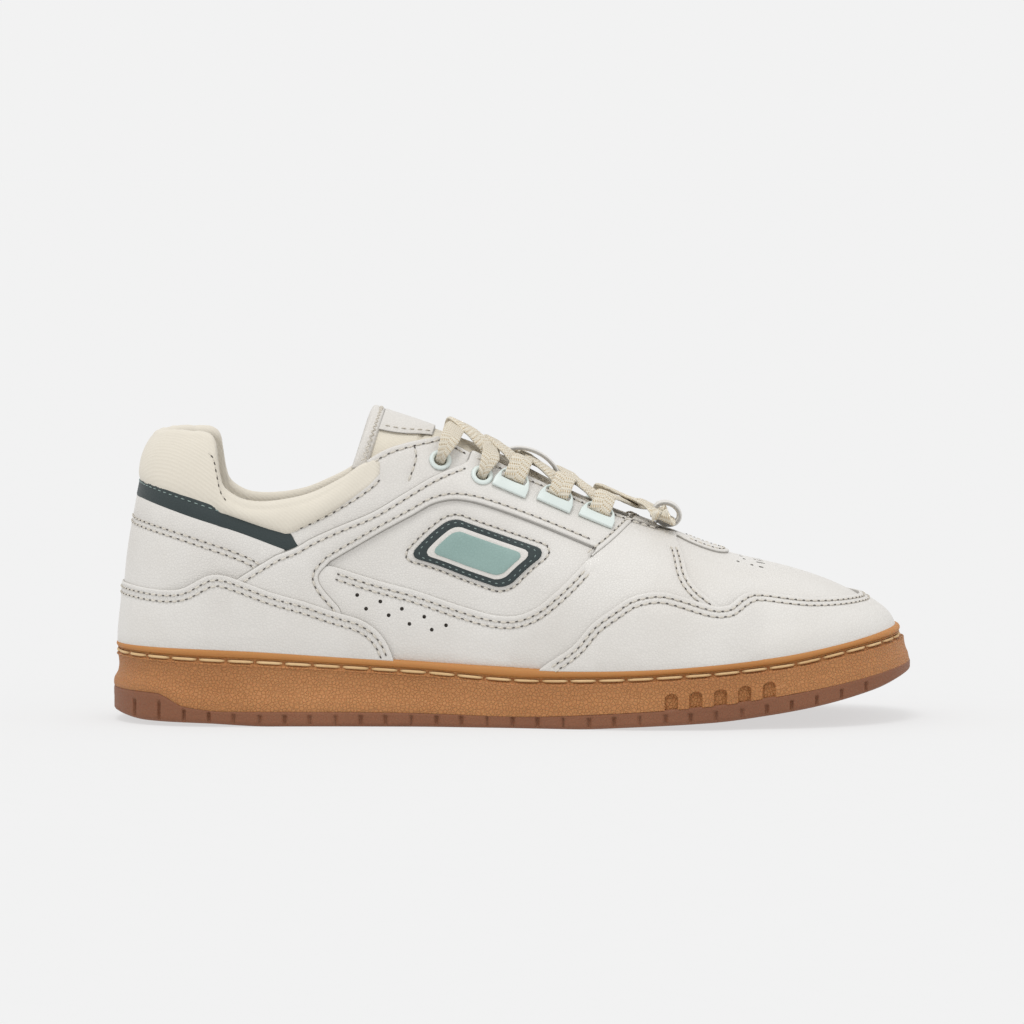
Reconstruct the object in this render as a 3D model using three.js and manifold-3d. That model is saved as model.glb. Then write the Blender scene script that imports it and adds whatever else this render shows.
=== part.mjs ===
// A low-top leather court shoe (right foot) on a stitched gum cupsole.
// Millimetres. +X points at the toe, -Y at the outer (lateral) side, +Z up. Z = 0 is the tread.

import * as THREE from 'three';
import { mergeVertices } from 'three/addons/utils/BufferGeometryUtils.js';
import Module from 'manifold-3d';

const wasm = await Module();
wasm.setup();

// ---------------------------------------------------------------- driving dimensions

const SOLE_LENGTH = 300;
const HEEL_FAN_X = -108;          // centre that the heel sections turn about
const TOE_FAN_X = 92;             // centre that the toe sections turn about
const FAN_FULLNESS = 2.25;        // superellipse power of the heel and toe outlines
const HEEL_STATIONS = 5;
const SIDE_STATIONS = 11;
const TOE_STATIONS = 6;
const UPPER_ROWS = 6;
const GAP = 0.35;                 // air kept between pieces that touch

const LEATHER = 1.1;              // thickness of one leather skin
const LAYER_1 = [GAP, GAP + LEATHER];
const LAYER_2 = [LAYER_1[1] + GAP, LAYER_1[1] + GAP + LEATHER];
const LAYER_3 = [LAYER_2[1] + GAP, LAYER_2[1] + GAP + LEATHER];
const LINING = [-2.6, 0];
const THIN_LINING = [-2.6, -1.35];
const STIFFENER = [-1, 0];
const COLLAR = [-5, LAYER_1[1]];

const FEATHER_DROP = 7;           // the upper starts this far below the top of the cup
const BOARD_THICKNESS = 1.5;
const SOCKLINER_THICKNESS = 4.5;
const CUP_FLOOR = 4;              // rubber under the foam
const CUP_WALL = 4;
const BEAD_INSET = 1.1;
const TOE_LEAN = 3.2;             // the toe of the cup leans in by this much at its top

const LACE_WIDTH = 8;
const LACE_THICKNESS = 1;
const EYELET_RADIUS = 2.8;
const EYELET_RING_RADIUS = 4.2;
const LOOP_WIDTH = 13.5;
const LOOP_HEIGHT = 9;
const LOOP_THICKNESS = 1.2;
const LOOP_LIFT = 0.7;
const LOOP_TILT = 0.16;           // radians that a loop's free end stands off the strap

// Half-width of the sole each side of its centre line, along X
const SOLE_HALF_WIDTH = through(
  [-108, 39.5], [-75, 37.8], [-40, 36.8], [-8, 40.5], [22, 48], [50, 54], [72, 54.8], [92, 51.2],
);
// The centre line bows outwards at the waist and turns towards the inner side at the toe
const CENTRE_Y = through(
  [-150, 0], [-108, 0], [-75, -0.6], [-40, -2.2], [-8, -3], [22, -2], [50, -0.8], [72, 0], [92, 1.2],
  [150, 7.5],
);
// Side-view lines of the sole
const TREAD_Z = through(
  [-150, 3.6], [-138, 1.8], [-114, 1.2], [-90, 0], [22, 0], [44, 1], [77, 3], [106, 6.8], [135, 13],
  [150, 18],
);
const OUTSOLE_TOP_Z = through(
  [-150, 12.9], [-133, 12.2], [-122, 7.4], [-106, 5.7], [-50, 5.4], [0, 4.6], [44, 6.8], [77, 9.5],
  [120, 16], [150, 22],
);
const STITCH_Z = through(
  [-150, 26.3], [-97, 24], [-35, 20.4], [8, 17.6], [29, 18], [63, 19.8], [99, 23], [128, 28],
  [150, 31.5],
);
const BEAD_Z = through(
  [-150, 29.8], [-115, 29.2], [-60, 25.9], [-6, 22.8], [20, 21.9], [48, 22.5], [90, 25.9], [126, 31.1],
  [150, 35.5],
);
// Top line of the upper if its two sides met over the foot
const RIDGE_Z = through(
  [-150, 130], [-108, 130], [-90, 127], [-70, 123], [-50, 118], [-30, 111.5], [-15, 103], [0, 95],
  [15, 87.5], [30, 80.5], [45, 74], [61, 68], [78, 61.8], [95, 57.6], [150, 45],
);
// Squareness of the cross-sections of the upper
const UPPER_FULLNESS = through(
  [-150, 2.3], [-108, 2.6], [-70, 2.9], [0, 2.6], [40, 2.3], [92, 2.4], [150, 2.9],
);
// Half-width of the lace gap between the two eyestays
const THROAT_HALF_WIDTH = through([-60, 17], [-30, 15], [0, 14.5], [30, 13.6], [50, 11.5]);
const THROAT_FRONT_X = 61;

// ---------------------------------------------------------------- curves and stations

// Smooth curve y(x) through knots that never swings past them (monotone cubic)
function through(...knots) {
  const slopes = knots.slice(1).map(([x, y], i) => (y - knots[i][1]) / (x - knots[i][0]));
  const tangents = knots.map((_, i) => {
    if (i === 0) return slopes[0];
    if (i === knots.length - 1) return slopes[i - 1];
    const [before, after] = [slopes[i - 1], slopes[i]];
    return before * after <= 0 ? 0 : (2 * before * after) / (before + after);
  });
  return (x) => {
    if (x <= knots[0][0]) return knots[0][1];
    if (x >= knots.at(-1)[0]) return knots.at(-1)[1];
    const i = knots.findIndex(([knotX]) => knotX > x) - 1;
    const width = knots[i + 1][0] - knots[i][0];
    const t = (x - knots[i][0]) / width;
    const [y0, y1] = [knots[i][1], knots[i + 1][1]];
    return y0 * (1 + 2 * t) * (1 - t) ** 2 + y1 * t * t * (3 - 2 * t)
      + width * (tangents[i] * t * (1 - t) ** 2 - tangents[i + 1] * t * t * (1 - t));
  };
}

// Stations run from 0 at the back of the heel, 1 and 2 where the fans meet the sides, to 3 at the toe
const STATIONS = [
  ...Array.from({ length: HEEL_STATIONS }, (_, i) => i / HEEL_STATIONS),
  ...Array.from({ length: SIDE_STATIONS }, (_, i) => 1 + i / SIDE_STATIONS),
  ...Array.from({ length: TOE_STATIONS + 1 }, (_, i) => 2 + i / TOE_STATIONS),
];
const LAST = STATIONS.length - 1;
// Once round the shoe: out along the lateral side, back along the medial side
const AROUND = [
  ...STATIONS.map((s) => ({ s, side: 'lateral' })),
  ...STATIONS.slice(1, LAST).reverse().map((s) => ({ s, side: 'medial' })),
];

const clamp = (value, low, high) => Math.min(Math.max(value, low), high);
const toeBlend = (x) => THREE.MathUtils.smoothstep(x, 85, 150);

// Point of the sole outline before the centre line bends: x, and the distance from the centre line
function outline(s, inset) {
  if (s >= 1 && s <= 2) {
    const x = HEEL_FAN_X + (s - 1) * (TOE_FAN_X - HEEL_FAN_X);
    return { x, reach: SOLE_HALF_WIDTH(x) - inset };
  }
  const centre = s < 1 ? HEEL_FAN_X : TOE_FAN_X;
  const direction = s < 1 ? -1 : 1;
  const length = SOLE_LENGTH / 2 - Math.abs(centre) - inset;
  const angle = (s < 1 ? s : 3 - s) * Math.PI / 2;
  return {
    x: centre + direction * length * Math.cos(angle) ** (2 / FAN_FULLNESS),
    reach: (SOLE_HALF_WIDTH(centre) - inset) * Math.sin(angle) ** (2 / FAN_FULLNESS),
  };
}

function solePoint(s, side, inset, height) {
  const { x, reach } = outline(s, inset);
  const direction = side === 'lateral' ? -1 : 1;
  return new THREE.Vector3(x, CENTRE_Y(x) + direction * reach, height(x));
}

// The upper's outer surface. q runs from 0 at the feather line to 1 at the ridge.
const upperInset = (x) => 5.7 + TOE_LEAN * toeBlend(x);
const featherZ = (x) => BEAD_Z(x) - FEATHER_DROP;

function surfacePoint(s, q, side) {
  const rough = outline(s, 0);
  const foot = outline(s, upperInset(rough.x));
  const spineX = clamp(foot.x, HEEL_FAN_X, TOE_FAN_X);
  const power = 2 / UPPER_FULLNESS(foot.x);
  const spread = q >= 1 ? 0 : Math.cos(q * Math.PI / 2) ** power;
  const rise = Math.sin(q * Math.PI / 2) ** power;
  const x = spineX + (foot.x - spineX) * spread;
  const direction = side === 'lateral' ? -1 : 1;
  const base = featherZ(foot.x);
  const z = base + (RIDGE_Z(x) - base) * rise;
  return new THREE.Vector3(x, CENTRE_Y(x) + direction * foot.reach * spread, z);
}

function surfaceNormal(s, q, side) {
  const step = 0.01;
  if (q > 1 - step) {
    const x = surfacePoint(s, 1, side).x;
    const slope = (RIDGE_Z(x + 1) - RIDGE_Z(x - 1)) / 2;
    return new THREE.Vector3(-slope, 0, 1).normalize();
  }
  const up = surfacePoint(s, q + step, side).sub(surfacePoint(s, Math.max(q - step, 0), side));
  // On the centre line of the heel and the toe the surface runs straight across
  const onCentre = s < step || s > 3 - step;
  const along = onCentre
    ? new THREE.Vector3(0, s < step ? -1 : 1, 0)
    : surfacePoint(s + step, q, side).sub(surfacePoint(s - step, q, side));
  const normal = along.cross(up).normalize();
  return side === 'lateral' ? normal : normal.negate();
}

function offsetPoint(s, q, side, offset) {
  return surfacePoint(s, q, side).addScaledVector(surfaceNormal(s, q, side), offset);
}

// ---------------------------------------------------------------- solids

// Closed mesh from points and quads, with equal points joined and flat triangles dropped
function geometryOf(points, faces) {
  const raw = new THREE.BufferGeometry();
  raw.setAttribute('position', new THREE.Float32BufferAttribute(points.flatMap((p) => [p.x, p.y, p.z]), 3));
  raw.setIndex(faces.flatMap(([a, b, c, d]) => [a, b, c, a, c, d]));
  return dropFlat(mergeVertices(raw, 1e-4));
}

function dropFlat(geometry) {
  const index = Array.from(geometry.index.array);
  const kept = [];
  for (let i = 0; i < index.length; i += 3) {
    const [a, b, c] = index.slice(i, i + 3);
    if (a !== b && b !== c && c !== a) kept.push(a, b, c);
  }
  geometry.setIndex(kept);
  return geometry;
}

function solidOf(geometry) {
  const bare = geometry.clone();
  bare.deleteAttribute('normal');
  bare.deleteAttribute('uv');
  const merged = dropFlat(mergeVertices(bare, 1e-4));
  return new wasm.Manifold(new wasm.Mesh({
    numProp: 3,
    vertProperties: new Float32Array(merged.attributes.position.array),
    triVerts: new Uint32Array(merged.index.array),
  }));
}

function geometryFrom(solid) {
  const mesh = solid.getMesh();
  const geometry = new THREE.BufferGeometry();
  geometry.setAttribute('position', new THREE.BufferAttribute(new Float32Array(mesh.vertProperties), 3));
  geometry.setIndex(new THREE.BufferAttribute(new Uint32Array(mesh.triVerts), 1));
  return geometry;
}

// Stack of rings of equal length; the first is the bottom face and the last the top face
function ringStack(rings) {
  const count = AROUND.length;
  const faces = [];
  for (let r = 0; r + 1 < rings.length; r += 1) {
    for (let i = 0; i < count; i += 1) {
      const next = (i + 1) % count;
      faces.push([r * count + i, r * count + next, (r + 1) * count + next, (r + 1) * count + i]);
    }
  }
  const top = (rings.length - 1) * count;
  for (let i = 0; i < LAST; i += 1) {
    const [mateA, mateB] = [(count - i) % count, count - i - 1];
    faces.push([i, mateA, mateB, i + 1]);
    faces.push([top + i, top + i + 1, top + mateB, top + mateA]);
  }
  return geometryOf(rings.flat(), faces);
}

// Ring of the sole outline, drawn in by an inset, at a height that follows a side-view line
function soleRing(inset, height) {
  const insetAt = typeof inset === 'function' ? inset : () => inset;
  return AROUND.map(({ s, side }) => solePoint(s, side, insetAt(outline(s, 0).x), height));
}

// Everything inside the upper surface at an offset
const bodies = new Map();
function upperBody(offset) {
  if (!bodies.has(offset)) {
    const rings = [AROUND.map(({ s, side }) => {
      const point = offsetPoint(s, 0, side, offset);
      point.z -= 4;
      return point;
    })];
    for (let row = 0; row <= UPPER_ROWS; row += 1) {
      rings.push(AROUND.map(({ s, side }) => offsetPoint(s, row / UPPER_ROWS, side, offset)));
    }
    const count = AROUND.length;
    const ridge = rings.at(-1);
    for (let i = 1; i < LAST; i += 1) ridge[count - i] = ridge[i];
    bodies.set(offset, solidOf(ringStack(rings)));
  }
  return bodies.get(offset);
}

const shell = ([inner, outer]) => upperBody(outer).subtract(upperBody(inner));

// Side-view outline (x, z) pushed through the shoe along Y
const SIDE_SPAN = { lateral: [-90, 0], medial: [0, 90], both: [-90, 90] };
function sidePrism(points, side = 'both') {
  const [low, high] = SIDE_SPAN[side];
  const shape = new THREE.Shape(points.map(([x, z]) => new THREE.Vector2(x, z)));
  const prism = new THREE.ExtrudeGeometry(shape, { depth: high - low, bevelEnabled: false });
  prism.rotateX(Math.PI / 2);
  prism.translate(0, high, 0);
  return solidOf(prism);
}

// Top-view outline (x, y) pushed up through the shoe
function planPrism(points) {
  const shape = new THREE.Shape(points.map(([x, y]) => new THREE.Vector2(x, y)));
  const prism = new THREE.ExtrudeGeometry(shape, { depth: 160, bevelEnabled: false });
  return solidOf(prism);
}

// Smooth line through a few points
function smooth(points, perSpan = 3) {
  const curve = new THREE.SplineCurve(points.map(([x, z]) => new THREE.Vector2(x, z)));
  return curve.getPoints((points.length - 1) * perSpan).map((p) => [p.x, p.y]);
}

const lowered = (points, by) => points.map(([x, z]) => [x, z - by]);
const alongX = (line, from, to, steps) => Array.from({ length: steps + 1 }, (_, i) => {
  const x = from + (to - from) * i / steps;
  return [x, line(x)];
});

// ---------------------------------------------------------------- pattern lines, side view (x, z)

const FAR = 170;
const HIGH = 140;
// Top line of the ankle collar, from the back of the heel forward
const COLLAR_LINE = [
  [-FAR, 109], [-133, 109.4],
  ...smooth([[-131.5, 109.7], [-127.9, 110.9], [-122.8, 110.4], [-113.4, 110.1]], 2),
  ...smooth([[-111.2, 108.3], [-109.9, 100.4], [-107, 88.9], [-99.7, 84.5], [-93.9, 83.9], [-85.3, 84.7],
    [-76.6, 86.6], [-69.4, 89.6], [-62.1, 93.5], [-57, 97.2]], 2),
];
const STRIPE_TOP = [
  [-FAR, 101.2], ...smooth([[-140.7, 91.6], [-119.9, 85.2], [-101.9, 79.4], [-83.8, 73.3]], 1),
];
const STRIPE_BOTTOM = [
  [-FAR, 94], ...smooth([[-141.2, 84.6], [-119.9, 77.6], [-101.9, 71.9], [-84.5, 65.4]], 1),
];
const EYESTAY_TOP = smooth([[-83.8, 73.3], [-69.4, 80], [-65.7, 82.1], [-56.4, 87.9], [-51.3, 92.2]], 2);
const EYESTAY_NOSE = [
  [-50.9, 95.3], [-54.6, 98.3],
  ...smooth([[-51.3, 100.4], [-46.3, 103], [-39.8, 105], [-34, 106.2], [-29.7, 106.8]], 1),
];
// Hidden joint under the strap, between the eyestay and the window panel
const STRAP_MIDLINE = smooth([
  [-84, 61.2], [-72, 66], [-62, 69.5], [-50, 75.5], [-38, 82], [-28, 87.5], [-18, 91],
], 1);
const STRAP_TOP = smooth([
  [-80.2, 66.4], [-75.9, 69], [-65.7, 73.7], [-52, 79.4], [-39.8, 86.6], [-30.4, 92.1], [-23.2, 95.3],
  [-18.8, 96.8], [-15.6, 98.5],
], 1);
const STRAP_REAR = [[-131, 29], [-119.5, 40.5], [-108, 50.6], [-99, 56.7], [-88, 63.4]];
const STRAP_CURL = smooth([
  [-66, 33], [-63.8, 42.7], [-66.7, 46.6], [-70.8, 51.5], [-72.4, 55.6], [-67.9, 61.3],
], 2);
const WINDOW_TOP = smooth([
  [-67.9, 61.3], [-58.5, 66.8], [-47.7, 73], [-36.9, 78.7], [-29.7, 82.7], [-22.4, 84.3], [-15.2, 83.6],
  [-8, 81.6], [6.5, 76.5], [20.9, 70.8], [31.4, 66.4],
], 1);
const WINDOW_BOTTOM = smooth([
  [27, 61.7], [22.1, 56.4], [15.1, 49.8], [7.7, 44], [0.6, 41.5], [-6.6, 41.7], [-20.9, 45.5],
  [-35.7, 50.4], [-50, 54.2], [-66, 59.3],
], 1);
const SADDLE_TOP = smooth([[27, 61.7], [36.2, 68.5], [44.3, 74.9], [50, 77.2], [54, 90]], 1);
const SADDLE_FRONT = smooth([
  [59.6, 90], [60.4, 69.5], [63.7, 63.4], [65.5, 56.1], [69.1, 51.5], [76, 46], [84, 36], [90, 20],
], 1);
const FOXING_TOP = [[-FAR, 55], ...smooth([
  [-148.1, 52.3], [-134.6, 50.7], [-128.1, 50.5], [-123.1, 51.1], [-118.2, 53.6], [-114.1, 55.8],
  [-110, 56.6], [-105.9, 55.9], [-99.4, 53.6], [-89.6, 49.9], [-77.3, 46.4], [-65, 42.3],
  [-56.8, 39.9], [-51.1, 36.4], [-47, 31.5], [-43.3, 22],
], 1)];
const TOE_GUARD_TOP = smooth([
  [8, 18], [10, 22], [22.1, 30.8], [29.2, 39.1], [36.8, 44.7], [44, 49.3], [54.5, 51.1], [61.8, 49.7],
  [69.1, 47.4], [76.5, 45.6], [80.1, 46], [83.8, 48.8], [88.4, 51.1], [93.8, 51.3], [100.2, 50.4],
  [109.4, 49.2], [118.5, 48.8], [127.7, 48.8], [135, 49.4], [FAR, 50],
], 1);
const VAMP_REAR_X = 40;
const HEEL_FRONT_X = -85;
const EYESTAY_FRONT_X = -19;

// ---------------------------------------------------------------- cutters shared by the panels

const belowCup = sidePrism([
  [-FAR, -20], [FAR, -20], ...alongX((x) => BEAD_Z(x) + GAP, FAR, -FAR, 34),
]);
const belowFeather = sidePrism([
  [-FAR, -20], [FAR, -20], ...alongX((x) => featherZ(x) - 0.5, FAR, -FAR, 34),
]);
// Gap between the eyestays, widened or narrowed by a margin, with a round front end
function throatPrism(margin) {
  const edge = alongX((x) => THROAT_HALF_WIDTH(x) + margin, -70, 50, 12);
  const front = [[56, 8.5 + margin], [60, 4.5 + margin], [THROAT_FRONT_X + margin, 0]];
  const half = [...edge, ...front];
  const mirrored = half.slice(0, -1).reverse().map(([x, y]) => [x, -y]);
  return planPrism([...half, ...mirrored].map(([x, y]) => [x, CENTRE_Y(x) - y]));
}
const throat = throatPrism(0);

function skin(layer, points, side) {
  return shell(layer).intersect(sidePrism(points, side)).subtract(belowCup).subtract(throat);
}

// Point and normal of the surface, a setback away from the edge of the lace gap
function seat(x, setback, side) {
  const s = 1 + (x - HEEL_FAN_X) / (TOE_FAN_X - HEEL_FAN_X);
  let [low, high] = [0, 1];
  for (let i = 0; i < 30; i += 1) {
    const middle = (low + high) / 2;
    const reach = Math.abs(surfacePoint(s, middle, side).y - CENTRE_Y(x));
    if (reach > THROAT_HALF_WIDTH(x) + setback) low = middle;
    else high = middle;
  }
  return { point: surfacePoint(s, low, side), normal: surfaceNormal(s, low, side) };
}

// ---------------------------------------------------------------- scene graph helpers

const FINISH = {
  leather: { color: 0xe1ddd7, roughness: 0.55, metalness: 0 },
  textile: { color: 0xe9e1cf, roughness: 0.9, metalness: 0 },
  stripe: { color: 0x3f5051, roughness: 0.55, metalness: 0 },
  mint: { color: 0x96b2aa, roughness: 0.6, metalness: 0 },
  gum: { color: 0xc18c50, roughness: 0.65, metalness: 0 },
  tread: { color: 0xa0694b, roughness: 0.7, metalness: 0 },
  loop: { color: 0xe2e8e4, roughness: 0.4, metalness: 0 },
  foam: { color: 0xf0eee8, roughness: 0.95, metalness: 0 },
  board: { color: 0xc9b48f, roughness: 0.95, metalness: 0 },
  stiffener: { color: 0xd8d4c4, roughness: 0.8, metalness: 0 },
};

const shoe = new THREE.Group();
function add(name, source, finish) {
  const geometry = source instanceof THREE.BufferGeometry ? source : geometryFrom(source);
  const mesh = new THREE.Mesh(geometry, new THREE.MeshStandardMaterial(FINISH[finish]));
  mesh.name = name;
  shoe.add(mesh);
  return mesh;
}

// ---------------------------------------------------------------- sole unit

const cupFloorZ = (x) => OUTSOLE_TOP_Z(x) + CUP_FLOOR;
const lipInset = (x) => upperInset(x) - 0.3;
const lean = (share) => (x) => TOE_LEAN * toeBlend(x) * share;
const blendZ = (share) => (x) => THREE.MathUtils.lerp(OUTSOLE_TOP_Z(x), STITCH_Z(x), share);

add('outsole', ringStack([
  soleRing(1.6, TREAD_Z),
  soleRing(0.3, (x) => TREAD_Z(x) + 1.2),
  soleRing(0, OUTSOLE_TOP_Z),
]), 'tread');

add('cupsole', ringStack([
  soleRing(0, (x) => OUTSOLE_TOP_Z(x) + GAP),
  soleRing((x) => 0.1 + lean(0.1)(x), blendZ(0.25)),
  soleRing((x) => 1.3 + lean(0.4)(x), blendZ(0.6)),
  soleRing((x) => 1.2 + lean(0.7)(x), (x) => STITCH_Z(x) - 1),
  soleRing((x) => 2.2 + lean(0.8)(x), STITCH_Z),
  soleRing((x) => BEAD_INSET + lean(0.85)(x), (x) => STITCH_Z(x) + 1),
  soleRing((x) => BEAD_INSET + lean(0.95)(x), (x) => BEAD_Z(x) - 1),
  soleRing((x) => BEAD_INSET + 1.2 + lean(1)(x), BEAD_Z),
  soleRing(lipInset, BEAD_Z),
  soleRing(lipInset, (x) => featherZ(x) - 1),
  soleRing((x) => Math.max(CUP_WALL, lipInset(x)), cupFloorZ),
]), 'gum');

const foamInset = (x) => Math.max(CUP_WALL, lipInset(x)) + GAP;
add('midsole_foam', ringStack([
  soleRing(foamInset, (x) => cupFloorZ(x) + GAP),
  soleRing(foamInset, (x) => featherZ(x) - 1.2),
]), 'foam');

const boardInset = (x) => upperInset(x) - LINING[0] + 1;
add('lasting_board', ringStack([
  soleRing(boardInset, (x) => featherZ(x) - 0.8),
  soleRing(boardInset, (x) => featherZ(x) - 0.8 + BOARD_THICKNESS),
]), 'board');

const sockBase = (x) => featherZ(x) - 0.8 + BOARD_THICKNESS + GAP;
add('sockliner', ringStack([
  soleRing((x) => boardInset(x) + 0.4, sockBase),
  soleRing((x) => boardInset(x) + 0.6, (x) => sockBase(x) + SOCKLINER_THICKNESS - 1),
  soleRing((x) => boardInset(x) + 1.8, (x) => sockBase(x) + SOCKLINER_THICKNESS),
]), 'textile');

// Thread row in the groove of the cup, all the way round
function stitchHoop() {
  const section = [[0.8, -0.4], [0.8, 0.4], [1.45, 0.2], [1.45, -0.2]];
  const points = AROUND.flatMap(({ s, side }) => section.map(([inset, up]) => (
    solePoint(s, side, inset + lean(0.8)(outline(s, 0).x), (x) => STITCH_Z(x) + up))));
  const faces = [];
  const count = AROUND.length;
  for (let i = 0; i < count; i += 1) {
    const next = (i + 1) % count;
    for (let j = 0; j < 4; j += 1) {
      const after = (j + 1) % 4;
      faces.push([next * 4 + j, next * 4 + after, i * 4 + after, i * 4 + j]);
    }
  }
  return geometryOf(points, faces);
}
add('sole_stitching', stitchHoop(), 'board');

// ---------------------------------------------------------------- linings and stiffeners

const heelRegion = [
  [-FAR, -10], [HEEL_FRONT_X - 0.4, -10], [HEEL_FRONT_X - 0.4, 73.2],
  ...lowered([...STRIPE_TOP].reverse().slice(1), 0.5),
];
const quarterRegion = [
  [HEEL_FRONT_X, -10], [VAMP_REAR_X - 0.4, -10], [VAMP_REAR_X - 0.4, HIGH], [-26, HIGH],
  ...[...EYESTAY_NOSE].reverse(), ...lowered([...EYESTAY_TOP].reverse(), 0.5), [HEEL_FRONT_X, 73],
];
const vampRegion = [[VAMP_REAR_X, -10], [FAR, -10], [FAR, HIGH], [VAMP_REAR_X, HIGH]];
const counterRegion = [[-FAR, 0], [-92, 0], [-92, 48], [-100, 64], [-FAR, 72]];
const toeRegion = [[104, 0], [FAR, 0], [FAR, HIGH], [104, HIGH]];

function lining(layer, points, side) {
  return shell(layer).intersect(sidePrism(points, side)).subtract(belowFeather).subtract(throat);
}

add('heel_lining', lining(THIN_LINING, heelRegion, 'both'), 'textile');
add('heel_counter', lining(STIFFENER, counterRegion, 'both'), 'stiffener');
add('vamp_lining', lining(THIN_LINING, vampRegion, 'both'), 'textile');
add('toe_puff', lining(STIFFENER, toeRegion, 'both'), 'stiffener');
add('collar_padding', shell(COLLAR).intersect(sidePrism([
  ...STRIPE_TOP, ...EYESTAY_TOP, [-51.9, 94.9], [-55, 97.6], ...[...COLLAR_LINE].reverse(),
])), 'textile');

// ---------------------------------------------------------------- skins that wrap both sides

add('heel_stripe', skin(LAYER_1, [
  ...STRIPE_BOTTOM, [-77, 63.4], [-77, 70.6], ...lowered([...STRIPE_TOP].reverse(), 0.5),
], 'both'), 'stripe');
add('heel_panel', skin(LAYER_1, [
  [-FAR, 0], [-130, 0], [-88, 58], [-80.5, 62.5], ...lowered([...STRIPE_BOTTOM].reverse(), 0.5),
], 'both'), 'leather');
add('heel_foxing', skin(LAYER_3, [[-FAR, 0], [-43, 0], ...[...FOXING_TOP].reverse()], 'both'), 'leather');
add('vamp', skin(LAYER_1, [
  [VAMP_REAR_X, 0], [FAR, 0], [FAR, HIGH], [VAMP_REAR_X, HIGH],
], 'both'), 'leather');
add('toe_guard', skin(LAYER_3, [[8, 0], [FAR, 0], ...[...TOE_GUARD_TOP].reverse()], 'both'), 'leather');

// Small tab at the front end of the lace gap, in top view (x, y)
const tabOutline = [
  [THROAT_FRONT_X + 0.8, -9], [70, -12.5], ...smooth([[78, -11.5], [81, 0], [78, 11.5]], 2),
  [70, 12.5], [THROAT_FRONT_X + 0.8, 9],
];
const belowTab = sidePrism([[0, -10], [FAR, -10], [FAR, 50], [0, 50]]);
const tab = shell(LAYER_2).intersect(planPrism(tabOutline)).subtract(belowTab).subtract(throat);
add('throat_tab', tab, 'leather');

// ---------------------------------------------------------------- panels, once on each side

// X, and the distance back from the edge of the lace gap
const EYELETS = [[-27.1, 6.3], [-12, 6.7]];
const LOOP_SEATS = [[-1.6, 7.4], [14.6, 8.2], [30.2, 9.2]];

// Basis whose third axis is the surface normal and whose first follows the throat towards the toe
function seatMatrix({ point, normal }, lift) {
  const forward = new THREE.Vector3(0.9, 0, -0.43);
  forward.addScaledVector(normal, -forward.dot(normal)).normalize();
  const across = new THREE.Vector3().crossVectors(normal, forward);
  const matrix = new THREE.Matrix4().makeBasis(forward, across, normal);
  matrix.setPosition(point.clone().addScaledVector(normal, lift));
  return matrix;
}

function punch([x, setback], side) {
  const drill = new THREE.CylinderGeometry(EYELET_RADIUS, EYELET_RADIUS, 16, 12).rotateX(Math.PI / 2);
  return solidOf(drill.applyMatrix4(seatMatrix(seat(x, setback, side), 0)));
}

function eyeletRing([x, setback], side, lift) {
  const ring = new THREE.LatheGeometry([
    new THREE.Vector2(EYELET_RADIUS, 0), new THREE.Vector2(EYELET_RING_RADIUS, 0),
    new THREE.Vector2(EYELET_RING_RADIUS - 0.3, 0.6), new THREE.Vector2(EYELET_RADIUS + 0.3, 0.9),
    new THREE.Vector2(EYELET_RADIUS, 0),
  ], 18).rotateX(Math.PI / 2);
  return geometryFrom(solidOf(ring.applyMatrix4(seatMatrix(seat(x, setback, side), lift))));
}

// Half-round moulded loop with a slit for the lace; its straight base lies on the strap
function laceLoop([x, setback], side) {
  const half = LOOP_WIDTH / 2;
  const places = (pairs) => pairs.map(([u, v]) => new THREE.Vector2(u, v));
  const shape = new THREE.Shape(places([[-half, -2.5], [half, -2.5], [half, 1]]));
  shape.splineThru(places([
    [half - 1.2, 4.6], [half - 4, LOOP_HEIGHT - 1.4], [0, LOOP_HEIGHT], [4 - half, LOOP_HEIGHT - 1.4],
    [1.2 - half, 4.6], [-half, 1],
  ]));
  shape.holes.push(new THREE.Path(places([[-4.6, 2.1], [-4.6, 4.7], [4.6, 4.7], [4.6, 2.1]])));
  const form = { depth: LOOP_THICKNESS, bevelEnabled: false, curveSegments: 10 };
  const loop = new THREE.ExtrudeGeometry(shape, form).rotateX(LOOP_TILT);
  if (side === 'medial') loop.rotateZ(Math.PI);
  return geometryFrom(solidOf(loop.applyMatrix4(seatMatrix(seat(x, setback, side), LAYER_2[1] + LOOP_LIFT))));
}

const BADGE_CENTRE = [-13, 64.5];
const BADGE_LAYER = [LAYER_1[1] + GAP, LAYER_1[1] + GAP + 0.8];
const INLAY_LAYER = [LAYER_1[1] + 2 * GAP + 0.8, LAYER_1[1] + 2 * GAP + 1.4];
// Rounded slanted lozenge, in side view
function badgeOutline(halfLength, halfHeight, corner, tilt = -0.33, slant = 0.55) {
  const points = [];
  for (let i = 0; i < 4; i += 1) {
    const [signU, signV] = [[1, 1], [-1, 1], [-1, -1], [1, -1]][i];
    for (let j = 0; j <= 3; j += 1) {
      const angle = (i + j / 3) * Math.PI / 2;
      const u = signU * (halfLength - corner) + corner * Math.cos(angle);
      const v = signV * (halfHeight - corner) + corner * Math.sin(angle);
      const sheared = u + slant * v;
      points.push([
        BADGE_CENTRE[0] + sheared * Math.cos(tilt) - v * Math.sin(tilt),
        BADGE_CENTRE[1] + sheared * Math.sin(tilt) + v * Math.cos(tilt),
      ]);
    }
  }
  return points;
}

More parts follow.
